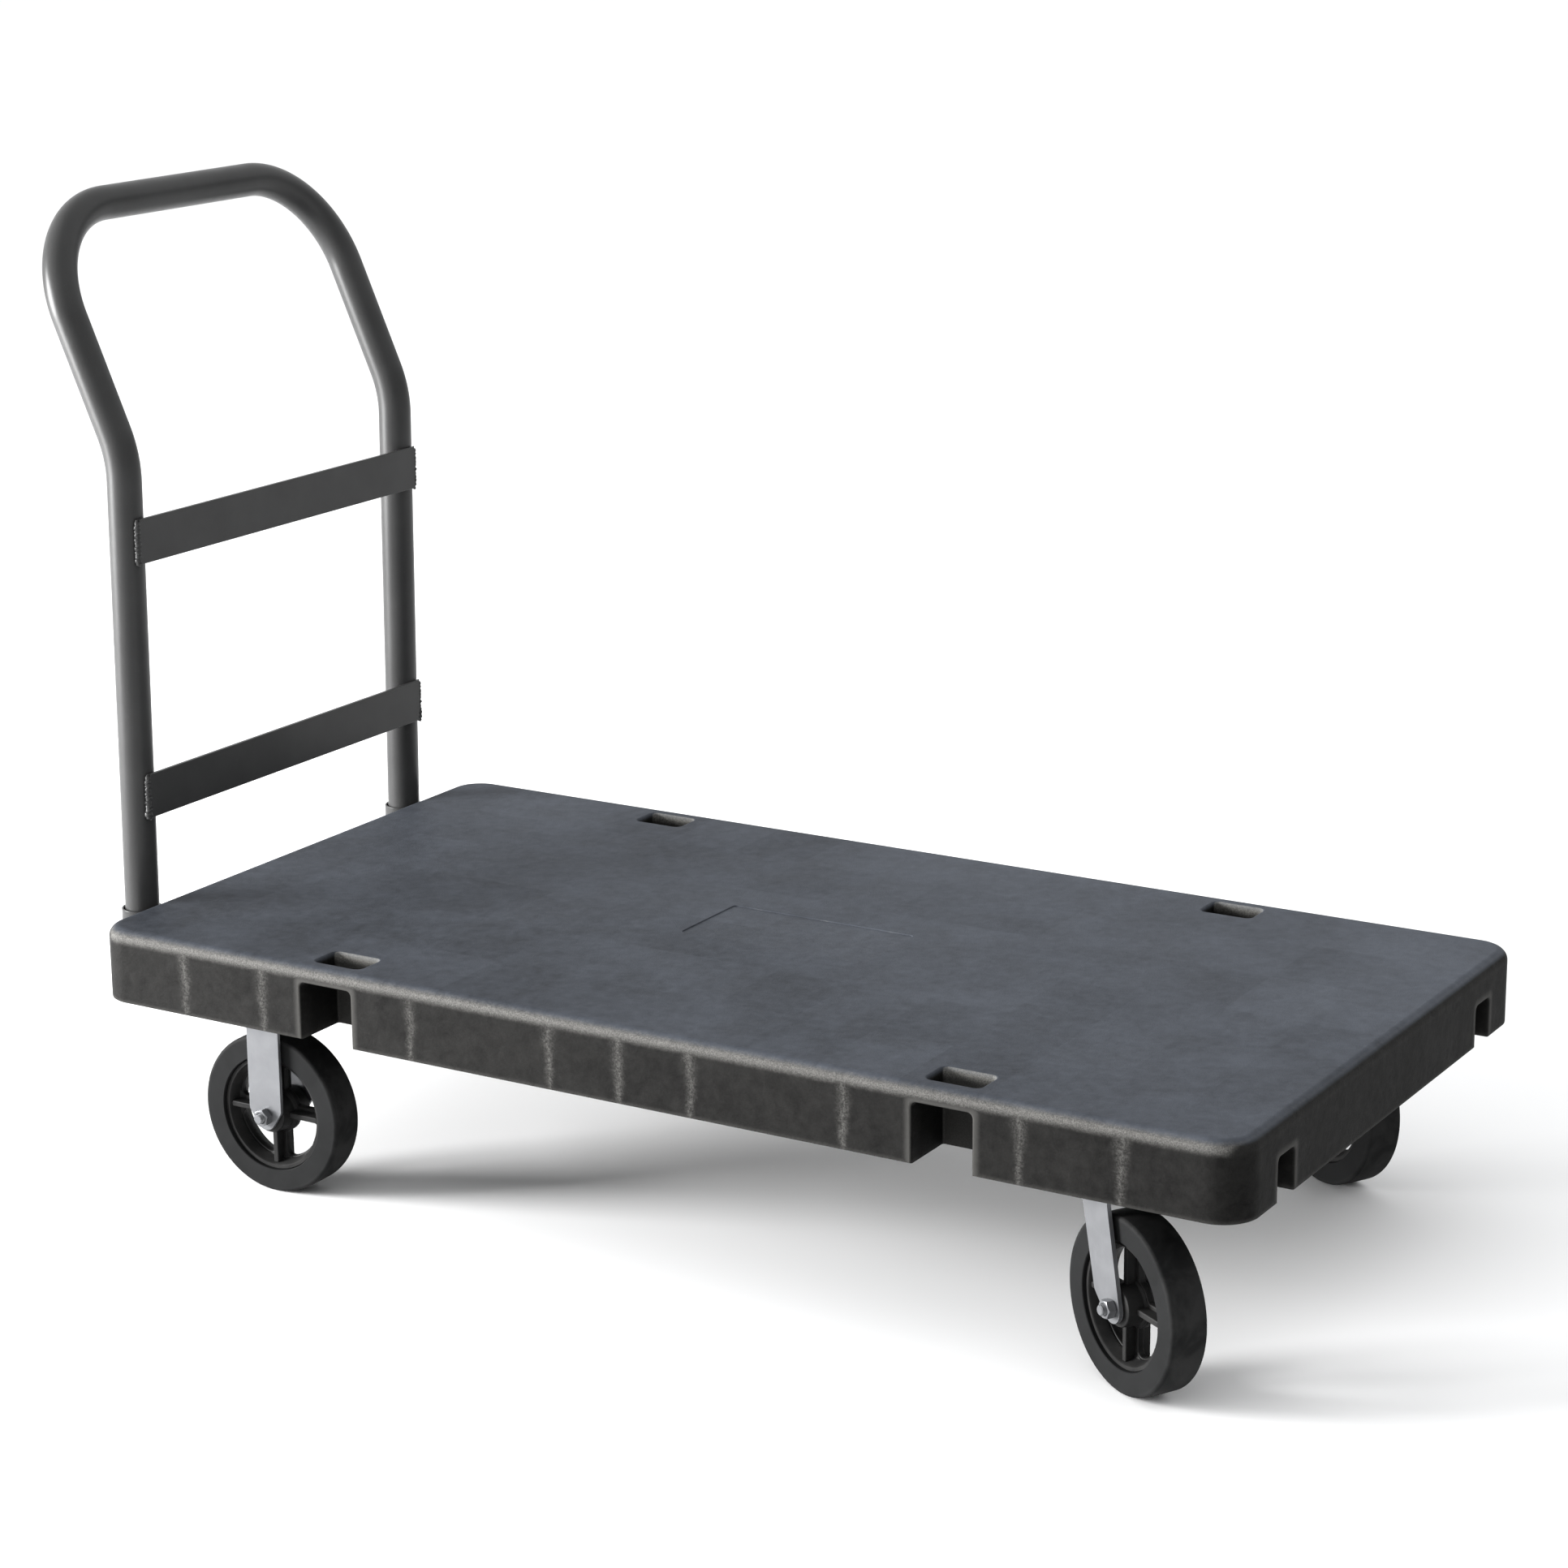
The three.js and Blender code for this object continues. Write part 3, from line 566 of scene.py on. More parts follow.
def handle_welds(bm):
    """Beads down both ends of each crossbar, and behind it against the posts."""
    for node, drip in (("crossbar_upper", 0.1), ("crossbar_lower", 0.55)):
        bottom = BAR_HEIGHTS[node] - BAR["height"] / 2
        top = bottom + BAR["height"]
        for sign in SIDES.values():
            x, y = BAR_FACE + 1.6 * MM, sign * (BAR["half"] + 1.2 * MM)
            bead(bm, Vector((x, y, bottom - 2 * MM)), Vector((x, y, top)), 3.6 * MM, drip)
            x, y = BAR_FACE - 0.9 * MM, sign * (post_offset() - 9.5 * MM)
            bead(bm, Vector((x, y, bottom + MM)), Vector((x, y, top - MM)), 2.4 * MM)


def make_handle(look):
    tube = smooth(made("handle_hoop", handle_tube, matrix=handle_frame()), 50)
    finish_piece(tube, look, "handle", "handle_tube")
    for node in BAR_HEIGHTS:
        finish_piece(smooth(crossbar(node)), look, "handle", node)
    welds = smooth(made("handle_welds", handle_welds, matrix=handle_frame()), 80)
    welds.data.materials.append(look[0])
    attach(welds, "handle")


# Fasteners --------------------------------------------------------------------------------------


def hexagon(across, low, high, chamfer_low, chamfer_high):
    """A hexagonal prism with its corners turned down at the chosen ends."""
    corner = across / math.sqrt(3)
    flat = across / 2
    fall = (corner - flat * 0.97) * math.tan(math.radians(30))
    prism = made("hexagon", cylinder, corner, low, high, segments=6)
    profile = [(corner * 1.05, low - MM), (corner * 1.05, high + MM)]
    if chamfer_low:
        profile[:1] = [(flat * 0.97, low - 0.01 * MM), (corner * 1.001, low + fall)]
    if chamfer_high:
        profile[-1:] = [(corner * 1.001, high - fall), (flat * 0.97, high + 0.01 * MM)]
    return combine(prism, made("cone", lathe, profile, 72), "INTERSECT")


def threaded(radius, start, end, pitch):
    """Profile points of a thread between two heights, with a chamfered end."""
    depth = 0.55 * pitch
    points = []
    height = start
    while height + pitch < end - depth:
        points += [(radius, height), (radius - depth, height + pitch / 2)]
        height += pitch
    return points + [(radius, height), (radius, end - 1.2 * depth), (radius - 1.2 * depth, end)]


def bolt(name, across, head, radius, length, thread_from, pitch):
    """A hexagon bolt with its seat at height 0 and its shank pointing up."""
    piece = hexagon(across, -head, 0, True, False)
    piece.name = name
    shank = [(radius, -MM), *threaded(radius, thread_from, length, pitch)]
    combine(piece, made("shank", lathe, shank, 40), "UNION")
    return smooth(piece, 30)


def hide_master(piece):
    """Takes a finished master off the scene once its copies share its mesh."""
    bpy.data.objects.remove(piece)


def make_bolts(look):
    for kind, across, head, radius, pitch in (
        ("plate_bolt", 14.3 * MM, 5.6 * MM, 4.6 * MM, 1.25 * MM),
        ("socket_bolt", 16 * MM, 6.4 * MM, 5 * MM, 1.5 * MM),
    ):
        nodes = [n for n in bolt_nodes() if kind in n]
        low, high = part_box(nodes[0])
        length = high.z - low.z - head
        master = bolt(kind, across, head, radius, length, 0.35 * length, pitch)
        for index, node in enumerate(nodes):
            low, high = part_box(node)
            middle = (low + high) / 2
            turn = Matrix.Rotation(0.9 * index, 4, "Z")
            place = Matrix.Translation((middle.x, middle.y, low.z + head)) @ turn
            finish_piece(copy_of(master, node + "_hex", place), look, "deck", node)
        hide_master(master)


# Wheels -----------------------------------------------------------------------------------------


def wheel_frame(caster):
    """The wheel's own axes: Y along its axle, Z up, with the origin at the wheel's middle."""
    joint = JOINTS["wheel_spin_" + caster]
    axle = Vector(joint["axis"]).normalized()
    up = Vector((0, 0, 1))
    turn = Matrix((axle.cross(up), axle, up)).transposed().to_4x4()
    return Matrix.Translation(joint["pos_m"]) @ turn


def tread_profile(radius, half):
    """The rubber ring: flat sides, wide soft shoulders and a slightly crowned tread."""
    shoulder, crown = 4.5 * MM, 0.3 * MM
    edge = [(radius - crown - a, half - b) for a, b in quarter(shoulder, 8)]
    lip = 0.8 * MM
    side = [(TREAD_INNER, half - lip), (TREAD_INNER + lip, half)]
    upper = side + edge + [(radius - 0.25 * crown, 0.28 * half)]
    return upper + [(radius, 0)] + [(r, -h) for r, h in reversed(upper)]


def core_profile(bore, half):
    """Hub, web and rim as one turned outline, the same on both faces."""
    rim_half, web_half, outer = 18.5 * MM, WEB_HALF, TREAD_INNER - 0.2 * MM
    upper = [
        (bore, half - 0.8 * MM),
        (bore + 0.8 * MM, half),
        (HUB_RADIUS - 2.5 * MM, half),
        (HUB_RADIUS - 0.7 * MM, half - 0.8 * MM),
        (HUB_RADIUS, half - 2.5 * MM),
        (HUB_RADIUS + 1.5 * MM, web_half + 3 * MM),
        (HUB_RADIUS + 4.5 * MM, web_half),
        (RIM_INNER - 5.5 * MM, web_half),
        (RIM_INNER - 2 * MM, web_half + 1.5 * MM),
        (RIM_INNER, web_half + 5 * MM),
        (RIM_INNER + 2.5 * MM, rim_half - 1.5 * MM),
        (RIM_INNER + 4 * MM, rim_half),
        (outer - MM, rim_half),
        (outer, rim_half - MM),
    ]
    return both_halves(upper)


def polar(radius, angle, round_to):
    return (radius * math.cos(angle), radius * math.sin(angle), round_to)


def windows(bm):
    """Four rounded openings through the web, their rims rolled on both faces."""
    inner, outer, clear = HUB_RADIUS + 5.5 * MM, RIM_INNER - 3 * MM, 9 * MM
    for index in range(4):
        middle = index * math.pi / 2 + math.pi / 4
        spread_out = math.pi / 4 - math.asin(clear / outer)
        spread_in = math.pi / 4 - math.asin(clear / inner)
        corners = [polar(outer, middle - spread_out, 7 * MM)]
        corners += [polar(outer, middle + 0.13 * k * spread_out, 0) for k in range(-5, 6)]
        corners += [polar(outer, middle + spread_out, 7 * MM)]
        corners += [polar(inner, middle + spread_in, 4 * MM)]
        corners += [polar(inner, middle - 0.2 * k * spread_in, 0) for k in (-2, -1, 0, 1, 2)]
        corners += [polar(inner, middle - spread_in, 4 * MM)]
        outline = fillet(corners, 0, 6)
        rim = [(along, WEB_HALF - across) for across, along in quarter(WINDOW_ROLL, 4)]
        stations = rim + [(WINDOW_ROLL, 30 * MM)]
        below = [(offset, -height) for offset, height in reversed(stations)]
        loft(bm, levels(outline, below + stations))


def spokes(bm, half):
    """Four deep ribs from the hub to the rim, thinner towards both faces."""
    start, end = HUB_RADIUS - 3 * MM, RIM_INNER + 3 * MM
    for index in range(4):
        blade = bmesh.new()
        outline = rectangle(end - start, SPOKE_WIDTH, 3 * MM, (start + end) / 2, 0, 3)
        top = [(-0.9 * MM - a, half - b) for a, b in quarter(1.4 * MM, 3)][::-1]
        bottom = [(offset, -height) for offset, height in reversed(top)]
        loft(blade, levels(outline, bottom + [(0, 0)] + top))
        add_body(bm, blade, Matrix.Rotation(index * math.pi / 2, 4, "Z"))


def wheel_masters():
    """The rubber ring, the core and the bearing bush, laid along Y about the origin."""
    low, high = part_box("tread_rigid_right")
    radius, half = (high.z - low.z) / 2, (high.y - low.y) / 2
    tread = made("tread", lathe, tread_profile(radius, half), 128, True, matrix=ALONG_AXLE)
    smooth(tread, 35)
    low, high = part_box("wheel_bearing_rigid_right")
    bush_radius, bush_half = (high.z - low.z) / 2, (high.y - low.y) / 2
    low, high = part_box("wheel_core_rigid_right")
    hub_half = (high.y - low.y) / 2
    core = made("core", lathe, core_profile(bush_radius + 0.3 * MM, hub_half), 112, True)
    combine(core, made("windows", windows))
    combine(core, made("spokes", spokes, 16 * MM), "UNION")
    core.data.transform(ALONG_AXLE)
    smooth(core, 32)
    bore, lip = 6.5 * MM, 0.6 * MM
    upper = [(bore, bush_half), (bush_radius - lip, bush_half), (bush_radius, bush_half - lip)]
    bush = smooth(made("bush", lathe, both_halves(upper), 48, True, matrix=ALONG_AXLE))
    return {"tread": tread, "wheel_core": core, "wheel_bearing": bush}


def make_wheels(looks):
    for kind, master in wheel_masters().items():
        for caster in CASTERS:
            piece = copy_of(master, f"{kind}_{caster}_round", wheel_frame(caster))
            finish_piece(piece, looks[kind], "wheel_" + caster, f"{kind}_{caster}")
        hide_master(master)


# Axles ------------------------------------------------------------------------------------------


def make_axles(look):
    """Axle bolts and nuts; each nut is on the side of its wheel that faces out."""
    head, nut_height, past = 7.5 * MM, 10 * MM, 5 * MM
    seat = FORK_OUTER + 0.3 * MM
    length = 2 * seat + nut_height + past
    master = bolt("axle_bolt", AXLE_ACROSS, head, AXLE_RADIUS, length, 2 * seat - 6 * MM, 1.75 * MM)
    nut = hexagon(AXLE_ACROSS, 0, nut_height, True, True)
    nut.name = "axle_nut"
    bore = AXLE_RADIUS + 0.25 * MM
    profile = [
        (bore + 1.5 * MM, -0.5 * MM), (bore, MM), (bore, nut_height - MM),
        (bore + 1.5 * MM, nut_height + 0.5 * MM),
    ]
    combine(nut, made("bore", lathe, profile, 40))
    smooth(nut, 30)
    for caster in CASTERS:
        outwards = 1 if caster == "rigid_left" else -1
        turn = Matrix.Rotation(-outwards * math.pi / 2, 4, "X")
        at = wheel_frame(caster) @ turn
        spin = Matrix.Rotation(0.35 + 0.4 * CASTERS.index(caster), 4, "Z")
        body = "deck" if "rigid" in caster else caster
        for source, node, height in ((master, "axle_bolt_", -seat), (nut, "axle_nut_", seat)):
            matrix = at @ Matrix.Translation((0, 0, height)) @ spin
            piece = copy_of(source, node + caster + "_hex", matrix)
            finish_piece(piece, look, body, node + caster)
    hide_master(master)
    hide_master(nut)


# Caster frames ----------------------------------------------------------------------------------


def u_profile(bottom, top):
    """A folded strip seen from its end: two legs and the crown between them."""
    t = FORK_STEEL
    return fillet([
        (FORK_OUTER, bottom, 0), (FORK_OUTER, top, 9 * MM), (-FORK_OUTER, top, 9 * MM),
        (-FORK_OUTER, bottom, 0), (-FORK_INNER, bottom, 0), (-FORK_INNER, top - t, 4 * MM),
        (FORK_INNER, top - t, 4 * MM), (FORK_INNER, bottom, 0),
    ], 0, 8)


def folded_fork(name, leg_outline, top, reach):
    """Two upright prisms crossed: the folded strip's end view and the legs' side view."""
    fork = made(name, slab, u_profile(60 * MM, top), -reach, reach, matrix=ALONG_X)
    return combine(
        fork, made("legs", slab, leg_outline, -reach, reach, matrix=ALONG_Y), "INTERSECT"
    )


def hole_through(x, z, radius):
    matrix = Matrix.Translation((x, 0, z)) @ ALONG_Y
    return made("hole", cylinder, radius, -50 * MM, 50 * MM, matrix=matrix)


def leg_tip(left, right, centre, radius, steps=22):
    """Points round a leg's tip, between the lines that touch it from two points above it."""
    turns = []
    for point, sense in ((left, 1), (right, -1)):
        away = Vector(point) - Vector(centre)
        turns.append(math.atan2(away.y, away.x) + sense * math.acos(radius / away.length))
    sweep = turns[1] + 2 * math.pi - turns[0]
    angles = [turns[0] + sweep * k / steps for k in range(steps + 1)]
    return [(centre[0] + radius * math.cos(t), centre[1] + radius * math.sin(t), 0) for t in angles]


def rigid_leg(top):
    half, shoulder = 24 * MM, 107 * MM
    left, right = (-half, shoulder), (half, shoulder)
    around = leg_tip(left, right, (0, 96 * MM), 14 * MM)
    corners = [(half, top, 0), (-half, top, 0), (*left, 9 * MM), *around, (*right, 9 * MM)]
    return fillet(corners, 0, 6)


def swivel_leg(top, trail):
    """A slanting strip, a little wider under the crown, its front cut away to a round tip."""
    half, middle, spread = 24.5 * MM, -4 * MM, 2.5 * MM
    left, right = (1.5 * MM, 110 * MM), (middle + half, top)
    around = leg_tip(left, right, (trail, 97.5 * MM), 15 * MM)
    slope = (left[0] - middle + half) / (left[1] - top)
    neck, crown = 22 * MM, 9 * MM
    front = middle - half - slope * neck
    back = middle + half + (around[-1][0] - right[0]) * neck / (top - around[-1][1])
    corners = [
        (right[0] + spread, top + 5 * MM, 0), (middle - half - spread, top + 5 * MM, 0),
        (middle - half - spread, top - crown, 25 * MM), (front, top - neck, 25 * MM),
        (*left, 12 * MM), *around,
        (back, top - neck, 25 * MM), (right[0] + spread, top - crown, 25 * MM),
    ]
    return fillet(corners, 0, 6)


def mounting_plate(name, low, high, king_hole):
    outline = rectangle(high.x - low.x, high.y - low.y, 8 * MM, steps=6)
    plate = made(name, slab, outline, low.z, high.z, 0.8 * MM, 0.8 * MM, 3)
    holes = bmesh.new()
    for i, j in CORNERS:
        cylinder(holes, 5.3 * MM, low.z - MM, high.z + MM, i * BOLTS_X, j * BOLTS_Y, 28)
    if king_hole:
        cylinder(holes, king_hole, low.z - MM, high.z + MM, segments=36)
    return combine(plate, mesh_object("holes", holes))


def make_rigid_forks(look):
    low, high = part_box("swivel_plate_right")
    reach = 40 * MM
    plate = mounting_plate("rigid_fork", low, high, 0)
    axle_z = JOINTS["wheel_spin_rigid_right"]["pos_m"][2]
    fork = folded_fork("fork", rigid_leg(low.z + MM), low.z + 0.02 * MM, reach)
    combine(fork, hole_through(0, axle_z, AXLE_RADIUS + HOLE_CLEARANCE))
    bevelled(fork, 0.7 * MM)
    master = combine(plate, fork, "UNION")
    welds = bmesh.new()
    for i in (-1, 1):
        x = i * 24.6 * MM
        ends = [Vector((x, side * 23 * MM, low.z - 0.4 * MM)) for side in (-1, 1)]
        bead(welds, *ends, 2.2 * MM)
    combine(master, mesh_object("welds", welds), "UNION")
    smooth(master, 34)
    for side in SIDES:
        x, y, _ = JOINTS[f"wheel_spin_rigid_{side}"]["pos_m"]
        piece = copy_of(master, f"rigid_fork_{side}_pressed", Matrix.Translation((x, y, 0)))
        finish_piece(piece, look, "deck", f"rigid_fork_{side}")
    hide_master(master)


def race_profile(inner, outer, low, high):
    """The fixed ball race: a turned cup with a rolled edge and a groove."""
    return [
        (inner, low + MM), (inner + MM, low), (outer - 7 * MM, low),
        *[(outer - 4 * MM + 4 * MM * math.sin(t), low + 4 * MM - 4 * MM * math.cos(t))
          for t in (math.pi / 2 * k / 6 for k in range(7))],
        (outer, low + 5.5 * MM), (outer - 1.2 * MM, low + 6.4 * MM),
        (outer - 1.2 * MM, low + 7.4 * MM), (outer, low + 8.2 * MM),
        (outer, high - 2.5 * MM), (outer - 0.9 * MM, high - 0.7 * MM),
        (outer - 3 * MM, high), (inner, high),
    ]


def make_swivels(look):
    plate_low, plate_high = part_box("swivel_plate_right")
    race_low, race_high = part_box("swivel_race_right")
    yoke_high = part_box("swivel_yoke_right")[1].z
    pin_low, pin_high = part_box("kingpin_right")
    king_hole = 8.7 * MM
    swivel = Vector(JOINTS["caster_swivel_right"]["pos_m"])
    axle = Vector(JOINTS["wheel_spin_swivel_right"]["pos_m"])
    trail = (axle - swivel).xy.length

    plate = smooth(mounting_plate("swivel_plate", plate_low, plate_high, king_hole))
    outer = (race_high.y - race_low.y) / 2
    race = made("race", lathe, race_profile(king_hole, outer, race_low.z, race_high.z), 80, True)
    smooth(race, 35)
    dome, seat = pin_low.z + 2.5 * MM, yoke_high - FORK_STEEL - 0.3 * MM
    pin = [
        (2 * MM, pin_low.z), (6 * MM, pin_low.z + 0.4 * MM), (10.5 * MM, pin_low.z + 1.3 * MM),
        (14 * MM, dome), (15 * MM, dome + 1.5 * MM), (15 * MM, seat), (8 * MM, seat),
        (8 * MM, pin_high.z - MM), (7 * MM, pin_high.z),
    ]
    kingpin = smooth(made("kingpin", lathe, pin, 56), 35)

    reach = 60 * MM
    fork = folded_fork("yoke", swivel_leg(yoke_high, trail), yoke_high, reach)
    combine(fork, hole_through(trail, axle.z, AXLE_RADIUS + HOLE_CLEARANCE))
    bore = made("bore", cylinder, king_hole, yoke_high - 20 * MM, yoke_high + 5 * MM)
    combine(fork, bore)
    bevelled(fork, 0.7 * MM)
    smooth(fork, 34)

    for side in SIDES:
        at = Matrix.Translation(JOINTS[f"caster_swivel_{side}"]["pos_m"])
        at.translation.z = 0
        turned = at @ wheel_frame(f"swivel_{side}").to_3x3().to_4x4()
        for master, name, node, body, matrix in (
            (plate, f"swivel_plate_{side}_pressed", f"swivel_plate_{side}", "deck", at),
            (race, f"swivel_race_{side}_turned", f"swivel_race_{side}", "deck", at),
            (kingpin, f"kingpin_{side}_domed", f"kingpin_{side}", "deck", at),
            (fork, f"swivel_yoke_{side}_pressed", f"swivel_yoke_{side}", f"swivel_{side}", turned),
        ):
            finish_piece(copy_of(master, name, matrix), look, body, node)
    for master in (plate, race, kingpin, fork):
        hide_master(master)


# Handle sockets ---------------------------------------------------------------------------------


def make_sockets(paint, steel):
    for side, sign in SIDES.items():
        low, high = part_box(f"socket_tube_{side}")
        middle, radius = (low + high) / 2, (high.x - low.x) / 2
        axis = Matrix.Translation((middle.x, middle.y, 0))
        lip = 0.9 * MM
        outline = [
            (SOCKET_BORE, low.z + lip), (SOCKET_BORE + lip, low.z), (radius - lip, low.z),
            (radius, low.z + lip), (radius, high.z - lip), (radius - 0.3 * lip, high.z - 0.3 * lip),
            (radius - lip, high.z), (SOCKET_BORE + lip, high.z), (SOCKET_BORE, high.z - lip),
        ]
        tube = made(f"socket_tube_{side}_turned", lathe, outline, 72, True, matrix=axis)
        pin_low, pin_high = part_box(f"socket_pin_{side}")
        pin_z, pin_radius = (pin_low.z + pin_high.z) / 2, (pin_high.z - pin_low.z) / 2
        at_pin = Matrix.Translation((middle.x, middle.y, pin_z)) @ ALONG_Y
        hole = made("hole", cylinder, pin_radius + 0.6 * MM, -0.04, 0.04, matrix=at_pin)
        finish_piece(smooth(combine(tube, hole), 34), paint, "deck", f"socket_tube_{side}")

        half = (pin_high.y - pin_low.y) / 2
        rod = [(pin_radius - 0.7 * MM, -half), (pin_radius, -half + 0.7 * MM),
               (pin_radius, half - 0.7 * MM), (pin_radius - 0.7 * MM, half)]
        pin = smooth(made(f"socket_pin_{side}_round", lathe, rod, 28, matrix=at_pin), 35)
        finish_piece(pin, steel, "deck", f"socket_pin_{side}")

        low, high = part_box(f"socket_strap_{side}")
        length, width = high.x - middle.x, high.y - low.y
        outline = rectangle(length, width, 2 * MM, middle.x + length / 2, (low.y + high.y) / 2, 4)
        strap = made(f"socket_strap_{side}_flat", slab, outline, low.z, high.z, 0.7 * MM, 0.7 * MM, 3)
        clearance = made("clearance", cylinder, radius + 0.2 * MM, low.z - 0.02, high.z + 0.02,
                         middle.x, middle.y, 72)
        combine(strap, clearance)
        holes = bmesh.new()
        for number in (1, 2):
            bolt_low, bolt_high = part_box(f"socket_bolt_{side}_{number}")
            centre = (bolt_low + bolt_high) / 2
            cylinder(holes, 5.7 * MM, low.z - MM, high.z + MM, centre.x, centre.y, 28)
        combine(strap, mesh_object("holes", holes))
        finish_piece(smooth(strap), paint, "deck", f"socket_strap_{side}")


# Materials --------------------------------------------------------------------------------------


class Field:
    """A value in a look's node tree, which can be worked with like a number."""

    def __init__(self, look, socket):
        self.look = look
        self.socket = socket

    def __add__(self, other):
        return self.look.maths("ADD", self, other)

    def __sub__(self, other):
        return self.look.maths("SUBTRACT", self, other)

    def __mul__(self, other):
        return self.look.maths("MULTIPLY", self, other)

    def __abs__(self):
        return self.look.maths("ABSOLUTE", self)


class Look:
    """A material's node tree, with short calls for the nodes that it is made of."""

    def __init__(self, name, roughness, metallic=0.0, specular=0.5):
        self.material = bpy.data.materials.new(name)
        self.material.use_nodes = True
        self.tree = self.material.node_tree
        self.shader = self.tree.nodes["Principled BSDF"]
        self.shader.inputs["Roughness"].default_value = roughness
        self.shader.inputs["Metallic"].default_value = metallic
        self.shader.inputs["Specular IOR Level"].default_value = specular

    def node(self, kind, inputs, output=0, **settings):
        node = self.tree.nodes.new(kind)
        for name, value in settings.items():
            setattr(node, name, value)
        for socket, value in inputs.items():
            if isinstance(value, Field):
                self.tree.links.new(value.socket, node.inputs[socket])
            else:
                node.inputs[socket].default_value = value
        return Field(self, node.outputs[output])

    def maths(self, operation, a, b=0.0, clamp=False):
        return self.node("ShaderNodeMath", {0: a, 1: b}, operation=operation, use_clamp=clamp)

    def most(self, a, b):
        return self.maths("MAXIMUM", a, b)

    def length(self, a, b):
        return self.maths("SQRT", a * a + b * b)

    def place(self, origin=(0.0, 0.0, 0.0)):
        """Where a point lies on the piece, in the piece's own axes, counted from an origin."""
        spot = self.node("ShaderNodeTexCoord", {}, output="Object")
        return self.node("ShaderNodeVectorMath", {0: spot, 1: origin}, operation="SUBTRACT")

    def parts(self, vector):
        """The three components of a vector."""
        split = self.tree.nodes.new("ShaderNodeSeparateXYZ")
        self.tree.links.new(vector.socket, split.inputs[0])
        return [Field(self, output) for output in split.outputs]

    def noise(self, place, scale, detail=3.0, roughness=0.55, distortion=0.0):
        inputs = {"Vector": place, "Scale": scale, "Detail": detail}
        inputs.update({"Roughness": roughness, "Distortion": distortion})
        return self.node("ShaderNodeTexNoise", inputs, output="Fac")

    def between(self, value, low, high, to_low=0.0, to_high=1.0):
        """A value's share of a range, smoothed at both ends."""
        inputs = {"Value": value, "From Min": low, "From Max": high}
        inputs.update({"To Min": to_low, "To Max": to_high})
        return self.node("ShaderNodeMapRange", inputs, interpolation_type="SMOOTHSTEP")

    def mix(self, share, a, b, blend="MIX"):
        settings = {"data_type": "RGBA", "blend_type": blend}
        return self.node("ShaderNodeMix", {0: share, 6: a, 7: b}, 2, **settings)

    def tinted(self, colour, tone):
        """A colour made lighter or darker by a tone."""
        tones = self.node("ShaderNodeCombineXYZ", {0: tone, 1: tone, 2: tone})
        return self.mix(1.0, colour, tones, "MULTIPLY")

    def bump(self, height, distance, strength=1.0, below=None):
        """A relief of the height, on top of an earlier one where there is one."""
        inputs = {"Height": height, "Distance": distance, "Strength": strength}
        if below is not None:
            inputs["Normal"] = below
        return self.node("ShaderNodeBump", inputs, output="Normal")

    def worn_by(self, colour, roughness, normal):
        """Links what was worked out to the shader, and gives back the material."""
        for name, value in (("Base Color", colour), ("Roughness", roughness), ("Normal", normal)):
            self.tree.links.new(value.socket, self.shader.inputs[name])
        return self.material


def grey(value, warmth=0.0):
    """A linear grey, warmer above 0 and cooler below."""
    return (value * (1 + warmth), value, value * (1 - warmth), 1.0)


